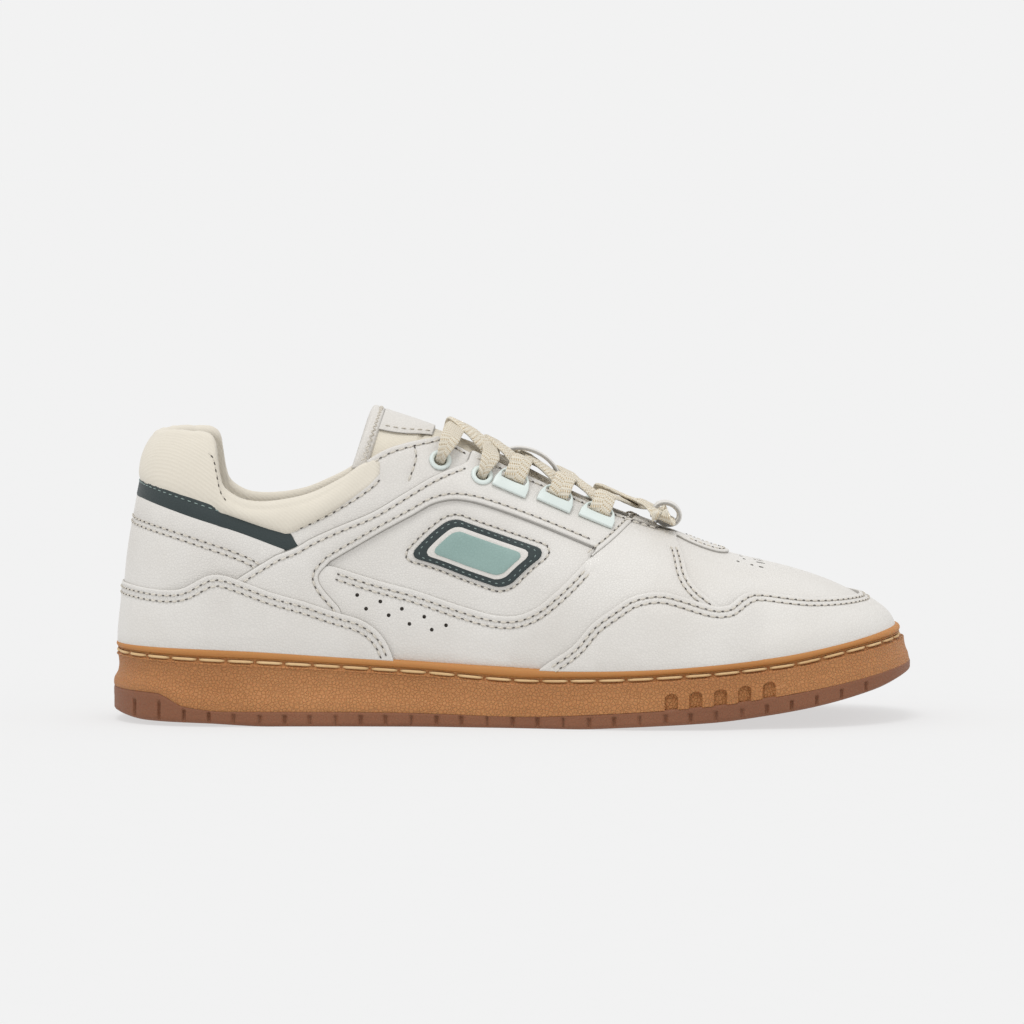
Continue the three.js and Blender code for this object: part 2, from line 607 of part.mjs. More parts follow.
for (const side of ['lateral', 'medial']) {
  const [firstHole, secondHole] = EYELETS.map((place) => punch(place, side));
  const quarter = lining(LINING, quarterRegion, side).subtract(firstHole).subtract(secondHole);
  add(`quarter_lining_${side}`, quarter, 'textile');

  add(`eyestay_${side}`, skin(LAYER_1, [
    [-82, 73.6], ...lowered(EYESTAY_TOP.slice(1), 0.5), ...EYESTAY_NOSE, [-26, HIGH], [EYESTAY_FRONT_X, HIGH],
    ...[...STRAP_MIDLINE].reverse().slice(0, -1), [-76.4, 64.6], [-76.4, 71.4],
  ], side).subtract(firstHole), 'leather');

  add(`window_panel_${side}`, skin(LAYER_1, [
    [-127, 0], [VAMP_REAR_X - 0.4, 0], [VAMP_REAR_X - 0.4, 62],
    ...[[36, 66.5], [22, 73.5], [8, 79.5], [-10, 87.5], [-18, 90.4]],
    ...lowered([...STRAP_MIDLINE].reverse().slice(0, -1), 0.5), [-79.5, 61.4], [-85.5, 57.2],
  ], side), 'leather');

  add(`strap_${side}`, skin(LAYER_2, [
    ...STRAP_REAR, ...STRAP_TOP, [-17, HIGH], [53.6, HIGH], [53.6, 90],
    ...[...SADDLE_TOP].reverse().slice(1, -1).map(([x, z]) => [x - 0.4, z + 0.2]),
    ...[...WINDOW_TOP].reverse(), ...[...STRAP_CURL].reverse().slice(1), [-66, 10], [-131, 10],
  ], side).subtract(secondHole), 'leather');

  add(`saddle_${side}`, skin(LAYER_2, [
    ...STRAP_CURL.slice(0, -1).map(([x, z]) => [x + 0.4, z]), ...[...WINDOW_BOTTOM].reverse(),
    ...SADDLE_TOP.slice(1),
    [54.2, HIGH], [59.6, HIGH], ...SADDLE_FRONT, [90, 0], [-65.6, 0],
  ], side), 'leather');

  const badge = sidePrism(badgeOutline(19, 9.5, 4), side);
  const inlay = sidePrism(badgeOutline(13.5, 5.5, 3), side);
  add(`badge_${side}`, shell(BADGE_LAYER).intersect(badge), 'stripe');
  add(`badge_inlay_${side}`, shell(INLAY_LAYER).intersect(inlay), 'mint');

  add(`eyelet_top_${side}`, eyeletRing(EYELETS[0], side, LAYER_1[1] + 0.45), 'loop');
  add(`eyelet_second_${side}`, eyeletRing(EYELETS[1], side, LAYER_2[1] + 0.45), 'loop');
  LOOP_SEATS.forEach((place, i) => add(`lace_loop_${i + 1}_${side}`, laceLoop(place, side), 'loop'));
}

// ---------------------------------------------------------------- tongue

// Centre line of the tongue's outer face, from its sewn front end to its free top end
const tongueLine = new THREE.CatmullRomCurve3([
  [64, 62.5], [54, 68], [36, 77.5], [18, 87.5], [0, 97], [-12, 102.5], [-24, 107], [-34, 110.7],
  [-44, 114], [-53, 117],
].map(([x, z]) => new THREE.Vector3(x, 0, z)));
const TONGUE_HALF_WIDTH = through([0, 14], [0.2, 18], [0.6, 20.5], [1, 19.8]);
const TONGUE_DROP = through([0, 6], [0.3, 14], [0.7, 19], [1, 23]);
const TONGUE_THICKNESS = through([0, 2.5], [0.15, 4], [0.6, 6], [0.85, 8.5], [1, 7]);
const TONGUE_BEND = 0.735;        // share of the length where the free top end starts

// The line runs towards the heel, so its outward normal is the tangent turned the other way
const outwardFrom = (tangent) => new THREE.Vector3(tangent.z, 0, -tangent.x);

function tonguePoint(share, across, offset) {
  const centre = tongueLine.getPointAt(clamp(share, 0, 1));
  const normal = outwardFrom(tongueLine.getTangentAt(clamp(share, 0, 1)));
  const drop = TONGUE_DROP(share) * Math.abs(across) ** 2;
  centre.y = CENTRE_Y(centre.x) + across * TONGUE_HALF_WIDTH(share);
  return centre.addScaledVector(normal, offset - drop);
}

// Closed slab between two grids of points
function slab(rows, columns, upperAt, lowerAt) {
  const grid = (at) => Array.from({ length: (rows + 1) * (columns + 1) }, (_, k) => (
    at(Math.floor(k / (columns + 1)) / rows, (k % (columns + 1)) / columns)));
  const points = [...grid(upperAt), ...grid(lowerAt)];
  const half = (rows + 1) * (columns + 1);
  const id = (i, j) => i * (columns + 1) + j;
  const faces = [];
  for (let i = 0; i < rows; i += 1) {
    for (let j = 0; j < columns; j += 1) {
      const quad = [id(i, j), id(i, j + 1), id(i + 1, j + 1), id(i + 1, j)];
      faces.push(quad);
      faces.push([...quad].reverse().map((k) => k + half));
    }
  }
  const border = [
    ...Array.from({ length: columns }, (_, j) => id(0, j)),
    ...Array.from({ length: rows }, (_, i) => id(i, columns)),
    ...Array.from({ length: columns }, (_, j) => id(rows, columns - j)),
    ...Array.from({ length: rows }, (_, i) => id(rows - i, 0)),
  ];
  border.forEach((a, k) => {
    const b = border[(k + 1) % border.length];
    faces.push([b, a, a + half, b + half]);
  });
  return geometryOf(points, faces);
}

function tongueSheet(from, to, width, inner, outer, rows) {
  const at = (offset) => (u, v) => {
    const share = from + (to - from) * u;
    const across = (2 * v - 1) * width;
    const base = typeof offset === 'function' ? offset(share, across) : offset;
    return tonguePoint(share, across, base);
  };
  return slab(rows, 10, at(outer), at(inner));
}

const under = (share, across) => -TONGUE_THICKNESS(share) * (1 - 0.5 * across ** 4);
// Both faces at the bend are ridged, so the top can tilt either way without touching
const BEND_SLOPE = 0.24;
const BEND_GAP = 0.25;
const RIDGE_DEPTH = 3.5;          // the ridges lie this far under the tongue's outer face
function bendCutter(front) {
  const place = tongueLine.getPointAt(TONGUE_BEND);
  const tangent = tongueLine.getTangentAt(TONGUE_BEND);
  const normal = outwardFrom(tangent);
  const direction = front ? -1 : 1;
  const reach = 60;
  const shoulder = BEND_GAP + BEND_SLOPE * reach;
  const points = [
    [BEND_GAP, -RIDGE_DEPTH], [shoulder, reach - RIDGE_DEPTH], [reach * 2, reach],
    [reach * 2, -reach], [shoulder, -reach - RIDGE_DEPTH],
  ].map(([along, off]) => [
    place.x + tangent.x * along * direction + normal.x * off,
    place.z + tangent.z * along * direction + normal.z * off,
  ]);
  return sidePrism(points);
}

const tongueSolid = solidOf(tongueSheet(0, 1, 1, under, () => 0, 14));
const gapRegion = throatPrism(-4.5);
const aboveCollar = sidePrism([
  [-90, 98], [-61, 94.5], [-56, 98.6], [-50, 102.5], [-42, 106], [-32, HIGH], [-90, HIGH],
]);
// The free top is narrower inside the collar, to leave it room to tilt
const trimmed = (clearance) => tongueSolid.intersect(upperBody(-clearance).add(gapRegion).add(aboveCollar));
add('tongue_body', trimmed(5.6).intersect(bendCutter(true)), 'textile');
add('tongue_top', trimmed(8.5).intersect(bendCutter(false)), 'textile');
add('tongue_patch', tongueSheet(0.84, 0.955, 0.54, GAP, GAP + 0.9, 4), 'leather');
add('tongue_binding', tongueSheet(0.96, 1, 0.8, GAP, GAP + 1.2, 2), 'leather');

// Leather strap that arches over the lace crossing on the tongue
const KEEPER_HEIGHT = 6;
function keeper() {
  const at = (offset) => (u, v) => {
    const share = 0.505 + (u - 0.5) * 0.165;
    const arch = KEEPER_HEIGHT * Math.sin(u * Math.PI) ** 0.4;
    return tonguePoint(share, (v - 0.5) * 0.32, GAP + offset + arch);
  };
  return slab(10, 3, at(1.1), at(0));
}
add('tongue_keeper', keeper(), 'leather');

// ---------------------------------------------------------------- lace

// Flat ribbon through points; each holds its place and the ribbon's width there
function ribbon(stops, perSpan) {
  const path = new THREE.CatmullRomCurve3(stops.map(({ at }) => at), false, 'centripetal');
  const steps = (stops.length - 1) * perSpan;
  const points = [];
  for (let i = 0; i <= steps; i += 1) {
    const t = i / steps;
    const place = path.getPoint(t);
    const tangent = path.getTangent(t);
    const slot = Math.min(Math.floor(t * (stops.length - 1)), stops.length - 2);
    const along = t * (stops.length - 1) - slot;
    const width = THREE.MathUtils.lerp(stops[slot].width, stops[slot + 1].width, along);
    const across = new THREE.Vector3(0.9, 0, -0.43);
    across.addScaledVector(tangent, -across.dot(tangent)).normalize();
    const normal = new THREE.Vector3().crossVectors(tangent, across);
    for (const [u, v] of [[-1, -1], [1, -1], [1, 1], [-1, 1]]) {
      const corner = place.clone().addScaledVector(across, u * width / 2);
      points.push(corner.addScaledVector(normal, v * LACE_THICKNESS / 2));
    }
  }
  const faces = [[3, 2, 1, 0], [0, 1, 2, 3].map((k) => k + steps * 4)];
  for (let i = 0; i < steps; i += 1) {
    for (let j = 0; j < 4; j += 1) {
      const after = (j + 1) % 4;
      faces.push([i * 4 + j, i * 4 + after, (i + 1) * 4 + after, (i + 1) * 4 + j]);
    }
  }
  return geometryOf(points, faces);
}

// Place in a loop's or eyelet's own frame: v towards the throat, w above the surface
function local(place, side, v, w) {
  const matrix = seatMatrix(seat(place[0], place[1], side), 0);
  const inward = side === 'lateral' ? v : -v;
  return new THREE.Vector3(0, inward, w).applyMatrix4(matrix);
}

const NECK = 3.7;                 // width of the lace where it is bunched in an eyelet
const LACE_STEP = 0.8;            // half the height between two crossing strands
function loopStops(place, side) {
  return [[10.5, 7.6], [7.6, 7.5], [5, 6.9], [3.3, 5.6], [3.2, 4.2], [4.8, 3.3], [7.4, 3], [10.8, 3.1]]
    .map(([v, w]) => ({ at: local(place, side, v, w), width: LACE_WIDTH }));
}

function eyeletStops(place, side, last) {
  const stops = [[8, 5, LACE_WIDTH * 0.9], [3.2, 5.4, NECK + 1.5], [0.6, 4.2, NECK], [0, 0, NECK]];
  if (last) stops.push([-0.2, -3.4, NECK], [-4, -4.8, NECK], [-12, -7.2, NECK]);
  else {
    stops.push([0.3, -3, NECK], [2.4, -4.2, NECK], [6.6, -5, NECK], [9.8, -4, NECK + 0.8]);
    stops.push([13, -2, LACE_WIDTH * 0.8]);
  }
  return stops.map(([v, w, width]) => ({ at: local(place, side, v, w), width }));
}

const other = { lateral: 'medial', medial: 'lateral' };
const STOPS_UP = [...LOOP_SEATS].reverse().map((place) => (side) => loopStops(place, side))
  .concat([(side) => eyeletStops(EYELETS[1], side, false), (side) => eyeletStops(EYELETS[0], side, true)]);
// X, height and lace width where the two strands cross on the tongue
const CROSSINGS = [[44, 82, 8], [22.5, 90, 8], [6.5, 97.6, 5.5], [-8, 104.4, 5], [-19.5, 110.4, 8]];

// One half of the lace, from the front bar to its tucked end
function laceHalf(start) {
  const stops = [];
  let side = other[start];
  STOPS_UP.forEach((make, i) => {
    const [x, z, width] = CROSSINGS[i];
    const over = (i % 2 === 0) === (start === 'lateral');
    stops.push({ at: new THREE.Vector3(x, CENTRE_Y(x), z + (over ? LACE_STEP : -LACE_STEP)), width });
    stops.push(...make(side));
    side = other[side];
  });
  return stops;
}

const FRONT_BAR = [57.5, 76];
const frontStops = [-1, 1].map((direction) => (
  { at: new THREE.Vector3(FRONT_BAR[0], direction * 7, FRONT_BAR[1]), width: LACE_WIDTH }));
const bulge = (direction) => [
  { at: new THREE.Vector3(57, direction * 13.5, 75.4), width: LACE_WIDTH },
  { at: new THREE.Vector3(55, direction * 15.5, 77.4), width: LACE_WIDTH },
  { at: new THREE.Vector3(52.6, direction * 12, 79.4), width: LACE_WIDTH },
];
add('lace', ribbon([
  ...laceHalf('lateral').reverse(), ...bulge(-1).reverse(), ...frontStops, ...bulge(1), ...laceHalf('medial'),
], 2), 'textile');

// Small loop at the front of the throat, round the first lace bar
function vampLoop() {
  const length = 5.8;
  const height = 3.4;
  const wall = 1;
  const width = 9;
  const shape = new THREE.Shape();
  shape.absellipse(0, 0, length, height, 0, Math.PI * 2);
  const hole = new THREE.Path();
  hole.absellipse(0, 0, length - wall, height - wall, 0, Math.PI * 2, true);
  shape.holes.push(hole);
  const band = new THREE.ExtrudeGeometry(shape, { depth: width, bevelEnabled: false, curveSegments: 8 });
  band.rotateX(Math.PI / 2).rotateY(0.445).translate(FRONT_BAR[0], width / 2, FRONT_BAR[1]);
  return geometryFrom(solidOf(band));
}
add('vamp_loop', vampLoop(), 'leather');

export default shoe;
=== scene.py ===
"""Looks of a low-top leather court shoe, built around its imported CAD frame.

Pattern lines are in millimetres: x towards the toe, z up, as seen from the outer (lateral) side.
Meshes are in metres. Every leather panel is cut from one smooth surface, the shape of the upper.
"""
import math

import bpy
import numpy as np
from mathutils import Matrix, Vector
from mathutils.geometry import delaunay_2d_cdt


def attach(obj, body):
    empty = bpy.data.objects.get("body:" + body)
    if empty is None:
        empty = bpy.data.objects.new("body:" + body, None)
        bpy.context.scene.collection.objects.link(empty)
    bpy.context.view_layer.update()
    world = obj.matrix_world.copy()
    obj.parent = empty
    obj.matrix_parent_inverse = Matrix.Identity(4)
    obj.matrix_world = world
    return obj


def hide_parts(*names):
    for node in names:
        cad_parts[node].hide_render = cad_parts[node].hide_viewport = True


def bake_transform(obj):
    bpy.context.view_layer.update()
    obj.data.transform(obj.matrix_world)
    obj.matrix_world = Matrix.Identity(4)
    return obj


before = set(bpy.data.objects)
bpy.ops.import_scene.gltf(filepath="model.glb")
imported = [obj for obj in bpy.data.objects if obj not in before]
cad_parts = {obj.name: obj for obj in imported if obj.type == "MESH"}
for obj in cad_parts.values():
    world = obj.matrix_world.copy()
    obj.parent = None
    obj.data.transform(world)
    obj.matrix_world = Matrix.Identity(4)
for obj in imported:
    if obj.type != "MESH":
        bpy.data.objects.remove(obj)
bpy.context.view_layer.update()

MM = 0.001
SHOE = "shoe"
TONGUE_END = "tongue_end"


# ---------------------------------------------------------------- curves

def through(*knots):
    """Smooth curve y(x) through knots that never swings past them (monotone cubic)."""
    xs = np.array([k[0] for k in knots], float)
    ys = np.array([k[1] for k in knots], float)
    slopes = np.diff(ys) / np.diff(xs)
    tangents = np.empty(len(xs))
    tangents[0], tangents[-1] = slopes[0], slopes[-1]
    for i in range(1, len(xs) - 1):
        before, after = slopes[i - 1], slopes[i]
        tangents[i] = 0 if before * after <= 0 else 2 * before * after / (before + after)

    def value(x):
        x = np.clip(np.asarray(x, float), xs[0], xs[-1])
        i = np.clip(np.searchsorted(xs, x, side="right") - 1, 0, len(xs) - 2)
        width = xs[i + 1] - xs[i]
        t = (x - xs[i]) / width
        ends = ys[i] * (1 + 2 * t) * (1 - t) ** 2 + ys[i + 1] * t * t * (3 - 2 * t)
        return ends + width * (tangents[i] * t * (1 - t) ** 2 - tangents[i + 1] * t * t * (1 - t))
    return value


def curve_span(a, b, c, d, t):
    """Points from b to c, at each t, of the centripetal Catmull-Rom curve through a, b, c and d."""
    k1, k2, k3 = (max(np.linalg.norm(v), 1e-9) ** 0.5 for v in (b - a, c - b, d - c))
    m1 = (c - b) + k2 * ((b - a) / k1 - (c - a) / (k1 + k2))
    m2 = (c - b) + k2 * ((d - c) / k3 - (d - b) / (k2 + k3))
    t = t[:, None]
    return ((2 * t**3 - 3 * t**2 + 1) * b + (t**3 - 2 * t**2 + t) * m1
            + (3 * t**2 - 2 * t**3) * c + (t**3 - t**2) * m2)


def smooth(points, step=1.0):
    """Centripetal Catmull-Rom curve through points, sampled about every step."""
    p = np.array(points, float)
    padded = np.vstack([2 * p[0] - p[1], p, 2 * p[-1] - p[-2]])
    spans = []
    for i in range(1, len(padded) - 2):
        count = max(int(np.linalg.norm(padded[i + 1] - padded[i]) / step), 1)
        spans.append(curve_span(*padded[i - 1:i + 3], np.linspace(0, 1, count + 1)[:-1]))
    return np.vstack(spans + [p[-1:]])


def run_length(points):
    """Length along a polyline at each of its points."""
    return np.concatenate([[0], np.cumsum(np.linalg.norm(np.diff(points, axis=0), axis=1))])


def rows_at(at, length, table):
    """Rows of a table at other lengths than its own."""
    return np.column_stack([np.interp(at, length, column) for column in table.T])


def even_rows(table, length, step, closed):
    """Rows of a table at even steps of length; a closed one leaves out its repeated last row."""
    count = max(int(round(length[-1] / step)), 3)
    at = np.linspace(0, length[-1], count + 1)
    return rows_at(at[:-1] if closed else at, length, table)


def resample(points, step, closed=False):
    """Polyline with vertices about every step along its length."""
    p = np.asarray(points, float)
    if closed:
        p = np.vstack([p, p[:1]])
    return even_rows(p, run_length(p), step, closed)


def smoothstep(x, low, high):
    """0 below low, 1 above high, and an S-curve between them."""
    t = np.clip((np.asarray(x, float) - low) / (high - low), 0, 1)
    return t * t * (3 - 2 * t)


# ---------------------------------------------------------------- the shape of the shoe

HALF_LENGTH = 150
# Beyond these two places the outline fans round to the heel's and the toe's tip
HEEL_X = -108
TOE_X = 92
FAN_POWER = 2 / 2.25
# How far the wall leans in at the toe, and how deep the upper stands in the cup
TOE_LEAN = 3.2
FEATHER_DROP = 7

SOLE_HALF_WIDTH = through((-108, 39.5), (-75, 37.8), (-40, 36.8), (-8, 40.5), (22, 48), (50, 54),
                          (72, 54.8), (92, 51.2))
CENTRE_Y = through((-150, 0), (-108, 0), (-75, -0.6), (-40, -2.2), (-8, -3), (22, -2), (50, -0.8),
                   (72, 0), (92, 1.2), (150, 7.5))
TREAD_Z = through((-150, 3.6), (-138, 1.8), (-114, 1.2), (-90, 0), (22, 0), (44, 1), (77, 3),
                  (106, 6.8), (135, 13), (150, 18))
OUTSOLE_TOP_Z = through((-150, 12.9), (-133, 12.2), (-122, 7.4), (-106, 5.7), (-50, 5.4), (0, 4.6),
                        (44, 6.8), (77, 9.5), (120, 16), (150, 22))
STITCH_Z = through((-150, 26.3), (-97, 24), (-35, 20.4), (8, 17.6), (29, 18), (63, 19.8), (99, 23),
                   (128, 28), (150, 31.5))
BEAD_Z = through((-150, 29.8), (-115, 29.2), (-60, 25.9), (-6, 22.8), (20, 21.9), (48, 22.5),
                 (90, 25.9), (126, 31.1), (150, 35.5))
RIDGE_Z = through((-150, 130), (-108, 130), (-90, 127), (-70, 123), (-50, 118), (-30, 111.5),
                  (-15, 103), (0, 95), (15, 87.5), (30, 80.5), (45, 74), (61, 68), (78, 61.8),
                  (95, 57.6), (150, 45))
FULLNESS = through((-150, 2.3), (-108, 2.6), (-70, 2.9), (0, 2.6), (40, 2.3), (92, 2.4), (150, 2.9))
THROAT = through((-60, 17), (-30, 15), (0, 14.5), (30, 13.6), (50, 11.5), (56, 8.5), (60, 4.5), (61, 0))
UPPER_INSET = 5.7


def outline(s, inset):
    """Sole outline at stations 0 (heel) to 3 (toe): x, and the reach from the centre line."""
    s = np.asarray(s, float)
    inset = np.broadcast_to(np.asarray(inset, float), s.shape)
    side_x = HEEL_X + (s - 1) * (TOE_X - HEEL_X)
    angle = np.where(s < 1, s, 3 - s) * math.pi / 2
    angle = np.clip(angle, 0, math.pi / 2)
    centre = np.where(s < 1, HEEL_X, TOE_X)
    length = HALF_LENGTH - np.abs(centre) - inset
    fan_x = centre + np.where(s < 1, -1, 1) * length * np.cos(angle) ** FAN_POWER
    fan_reach = (SOLE_HALF_WIDTH(centre) - inset) * np.sin(angle) ** FAN_POWER
    on_side = (s >= 1) & (s <= 2)
    return (np.where(on_side, side_x, fan_x),
            np.where(on_side, SOLE_HALF_WIDTH(side_x) - inset, fan_reach))


def split(t):
    """Turn coordinate t (0 heel, 3 toe, 6 heel again) into a station and a side (-1 is lateral)."""
    t = np.mod(np.asarray(t, float), 6)
    return np.where(t <= 3, t, 6 - t), np.where(t <= 3, -1.0, 1.0)


def toe_blend(x):
    """0 up to the ball of the foot, 1 at the toe's tip."""
    return smoothstep(x, 85, 150)


def upper_base(t, q):
    """Point of the upper's surface; q is 0 at the feather line and 1 on the ridge."""
    s, side = split(t)
    q = np.clip(np.asarray(q, float), 0, 1)
    rough, _ = outline(s, 0)
    foot_x, foot_reach = outline(s, UPPER_INSET + TOE_LEAN * toe_blend(rough))
    spine = np.clip(foot_x, HEEL_X, TOE_X)
    power = 2 / FULLNESS(foot_x)
    spread = np.maximum(np.cos(q * math.pi / 2), 0) ** power
    rise = np.sin(q * math.pi / 2) ** power
    x = spine + (foot_x - spine) * spread
    base = BEAD_Z(foot_x) - FEATHER_DROP
    return np.stack([x, CENTRE_Y(x) + side * foot_reach * spread, base + (RIDGE_Z(x) - base) * rise], -1)


def upper_normal(t, q):
    """Outward unit normal of the upper's surface."""
    step = 0.004
    t = np.asarray(t, float)
    q = np.clip(np.asarray(q, float), 0, 1 - 1.5 * step)
    along = upper_base(t + step, q) - upper_base(t - step, q)
    up = upper_base(t, q + step) - upper_base(t, np.maximum(q - step, 0))
    normal = np.cross(along, up)
    return normal / np.maximum(np.linalg.norm(normal, axis=-1, keepdims=True), 1e-12)


def upper(t, q, offset):
    """Point that lies offset above the upper's surface."""
    return upper_base(t, q) + upper_normal(t, q) * np.asarray(offset, float)[..., None]


def sole(t, inset, height):
    """Point of the sole's outline, drawn in by inset, at a height."""
    s, side = split(t)
    x, reach = outline(s, inset)
    z = height(x) if callable(height) else height
    return np.stack([x, CENTRE_Y(x) + side * reach, np.broadcast_to(z, x.shape)], -1)


# Length along the outline, so that patterns can be spaced evenly
T_TABLE = np.linspace(-3, 6, 1801)
_edge = sole(T_TABLE, 3.0, 0.0)
LENGTH_TABLE = run_length(_edge)
LENGTH_TABLE -= np.interp(0, T_TABLE, LENGTH_TABLE)
# Millimetres that q = 1 stands for in the pattern plane
Q_LENGTH = 95.0


def to_plane(tq):
    """(t, q) laid out in millimetres, along the outline and up the surface."""
    return np.column_stack([np.interp(tq[:, 0], T_TABLE, LENGTH_TABLE), tq[:, 1] * Q_LENGTH])


def from_plane(uv):
    """(t, q) of points of that plane."""
    return np.column_stack([np.interp(uv[:, 0], LENGTH_TABLE, T_TABLE), uv[:, 1] / Q_LENGTH])


# ---------------------------------------------------------------- from side view to surface

GRID_T, GRID_Q = np.meshgrid(np.linspace(0, 3, 361), np.linspace(0, 0.999, 150), indexing="ij")
_grids = {}


def side_view(points, offset=1.5):
    """(t, q) on the lateral side of side-view points (x, z) that lie offset above the surface."""
    if offset not in _grids:
        _grids[offset] = upper(GRID_T, GRID_Q, np.full(GRID_T.shape, offset))
    grid = _grids[offset]
    found = []
    for x, z in np.asarray(points, float):
        gap = (grid[..., 0] - x) ** 2 + (grid[..., 2] - z) ** 2
        i, j = np.unravel_index(np.argmin(gap), gap.shape)
        tq = np.array([GRID_T[i, j], GRID_Q[i, j]])
        for _ in range(4):
            here, dt, dq = upper(np.array([tq[0], tq[0] + 1e-3, tq[0]]),
                                 np.array([tq[1], tq[1], min(tq[1] + 1e-3, 0.9995)]),
                                 np.full(3, offset))[:, [0, 2]]
            jac = np.column_stack([(dt - here) / 1e-3, (dq - here) / 1e-3])
            if abs(np.linalg.det(jac)) < 1.0:
                break
            move = np.clip(np.linalg.solve(jac, np.array([x, z]) - here), -0.02, 0.02)
            tq = np.array([np.clip(tq[0] + move[0], 0, 3), np.clip(tq[1] + move[1], 0, 0.999)])
        found.append(tq)
    return np.array(found)


def plan_view(points):
    """(t, q) on the lateral side of top-view points (x, distance from the centre line)."""
    found = []
    for x, reach in np.asarray(points, float):
        t = 1 + (x - HEEL_X) / (TOE_X - HEEL_X)
        low, high = 0.0, 1.0
        for _ in range(30):
            middle = (low + high) / 2
            if abs(float(upper_base(t, middle)[1]) - float(CENTRE_Y(x))) > reach:
                low = middle
            else:
                high = middle
        found.append((t, min(low, 0.9995)))
    return np.array(found)


def throat_edge(x_from, x_to, setback=0.0, count=12):
    """(t, q) along the edge of the lace gap, or set back from it."""
    xs = np.linspace(x_from, x_to, count)
    return plan_view(np.column_stack([xs, THROAT(xs) + setback]))


def other_side(tq):
    """The same line on the medial side, run the other way; t is below 0 there."""
    return tq[::-1] * (-1, 1)


def over_the_toe(tq):
    """The same line on the medial side, run the other way; t is above 3 there."""
    return other_side(tq) + (6, 0)


# ---------------------------------------------------------------- mesh making


def new_object(name, points, faces, material, body=SHOE, uv=None, parts=()):
    """Adds a mesh in metres from points in millimetres and makes it ride on a body."""
    mesh = bpy.data.meshes.new(name)
    mesh.from_pydata((np.asarray(points, float) * MM).tolist(), [], [tuple(int(k) for k in f) for f in faces])
    mesh.validate()
    if uv is not None:
        layer = mesh.uv_layers.new(name="UVMap")
        corners = np.empty(len(mesh.loops), np.int32)
        mesh.loops.foreach_get("vertex_index", corners)
        layer.data.foreach_set("uv", (np.asarray(uv, float)[corners] * MM).astype(np.float32).ravel())
    mesh.polygons.foreach_set("use_smooth", np.ones(len(mesh.polygons), bool))
    finishes = material if isinstance(material, (list, tuple)) else [material]
    for entry in finishes:
        mesh.materials.append(entry)
    obj = bpy.data.objects.new(name, mesh)
    bpy.context.scene.collection.objects.link(obj)
    if body:
        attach(obj, body)
    for node in parts:
        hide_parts(node)
    mesh.update()
    return obj


def grid_faces(rows, columns, wrap_rows=False, wrap_columns=False):
    """Quads on rows by columns of points, closed up in either direction where asked."""
    faces = []
    for i in range(rows if wrap_rows else rows - 1):
        for j in range(columns if wrap_columns else columns - 1):
            a, b = i, (i + 1) % rows
            c, d = j, (j + 1) % columns
            faces.append((a * columns + c, b * columns + c, b * columns + d, a * columns + d))
    return faces


def end_caps(rings, sides):
    """The two flat ends of a tube whose points run ring by ring."""
    return [tuple(range(sides)), tuple((rings - 1) * sides + j for j in reversed(range(sides)))]


def tube_faces(rings, sides, start):
    """Faces of a closed tube whose points run ring by ring, the first of them numbered start."""
    faces = grid_faces(rings, sides, wrap_columns=True) + end_caps(rings, sides)
    return [tuple(start + k for k in face) for face in faces]


def strip_cap(ids, flip):
    """Closes the end of a flattened tube with quads from one face to the other."""
    half = len(ids) // 2
    quads = []
    for i in range(half - 1):
        a, b, c, d = ids[i], ids[i + 1], ids[-i - 2], ids[-i - 1]
        quads.append((a, b, c, d) if flip else (d, c, b, a))
    if len(ids) % 2:
        tip = (ids[half - 1], ids[half], ids[half + 1])
        quads.append(tip if flip else tip[::-1])
    return quads


def inside(points, loop):
    """Even-odd test of 2-D points against a closed loop."""
    x, y = points[:, 0][:, None], points[:, 1][:, None]
    x0, y0 = loop[:, 0], loop[:, 1]
    x1, y1 = np.roll(x0, -1), np.roll(y0, -1)
    crosses = (y0 > y) != (y1 > y)
    with np.errstate(divide="ignore", invalid="ignore"):
        at = x0 + (y - y0) * (x1 - x0) / (y1 - y0)
    return (np.count_nonzero(crosses & (x < at), axis=1) % 2) == 1


def ring_links(start, count):
    """Pairs that join points in a closed loop, the first of them numbered start."""
    return [(start + i, start + (i + 1) % count) for i in range(count)]


def fill_between(flat, links, loops, tolerance):
    """Triangles on 2-D points, inside the first loop and outside the others.

    Also returns the points that they use, and which of those stands for each given point.
    """
    result = delaunay_2d_cdt([Vector(p) for p in flat], links, [], 0, tolerance, True)
    verts = np.array([(v.x, v.y) for v in result[0]])
    faces = np.array(result[2])
    middle = verts[faces].mean(1)
    keep = inside(middle, loops[0])
    for hole in loops[1:]:
        keep &= ~inside(middle, hole)
    faces = faces[keep]
    a, b, c = (verts[faces[:, k]] for k in range(3))
    area = (b[:, 0] - a[:, 0]) * (c[:, 1] - a[:, 1]) - (b[:, 1] - a[:, 1]) * (c[:, 0] - a[:, 0])
    faces = np.where(area[:, None] > 0, faces, faces[:, ::-1])
    where = {old: new for new, olds in enumerate(result[3]) for old in olds}
    return verts, faces, where


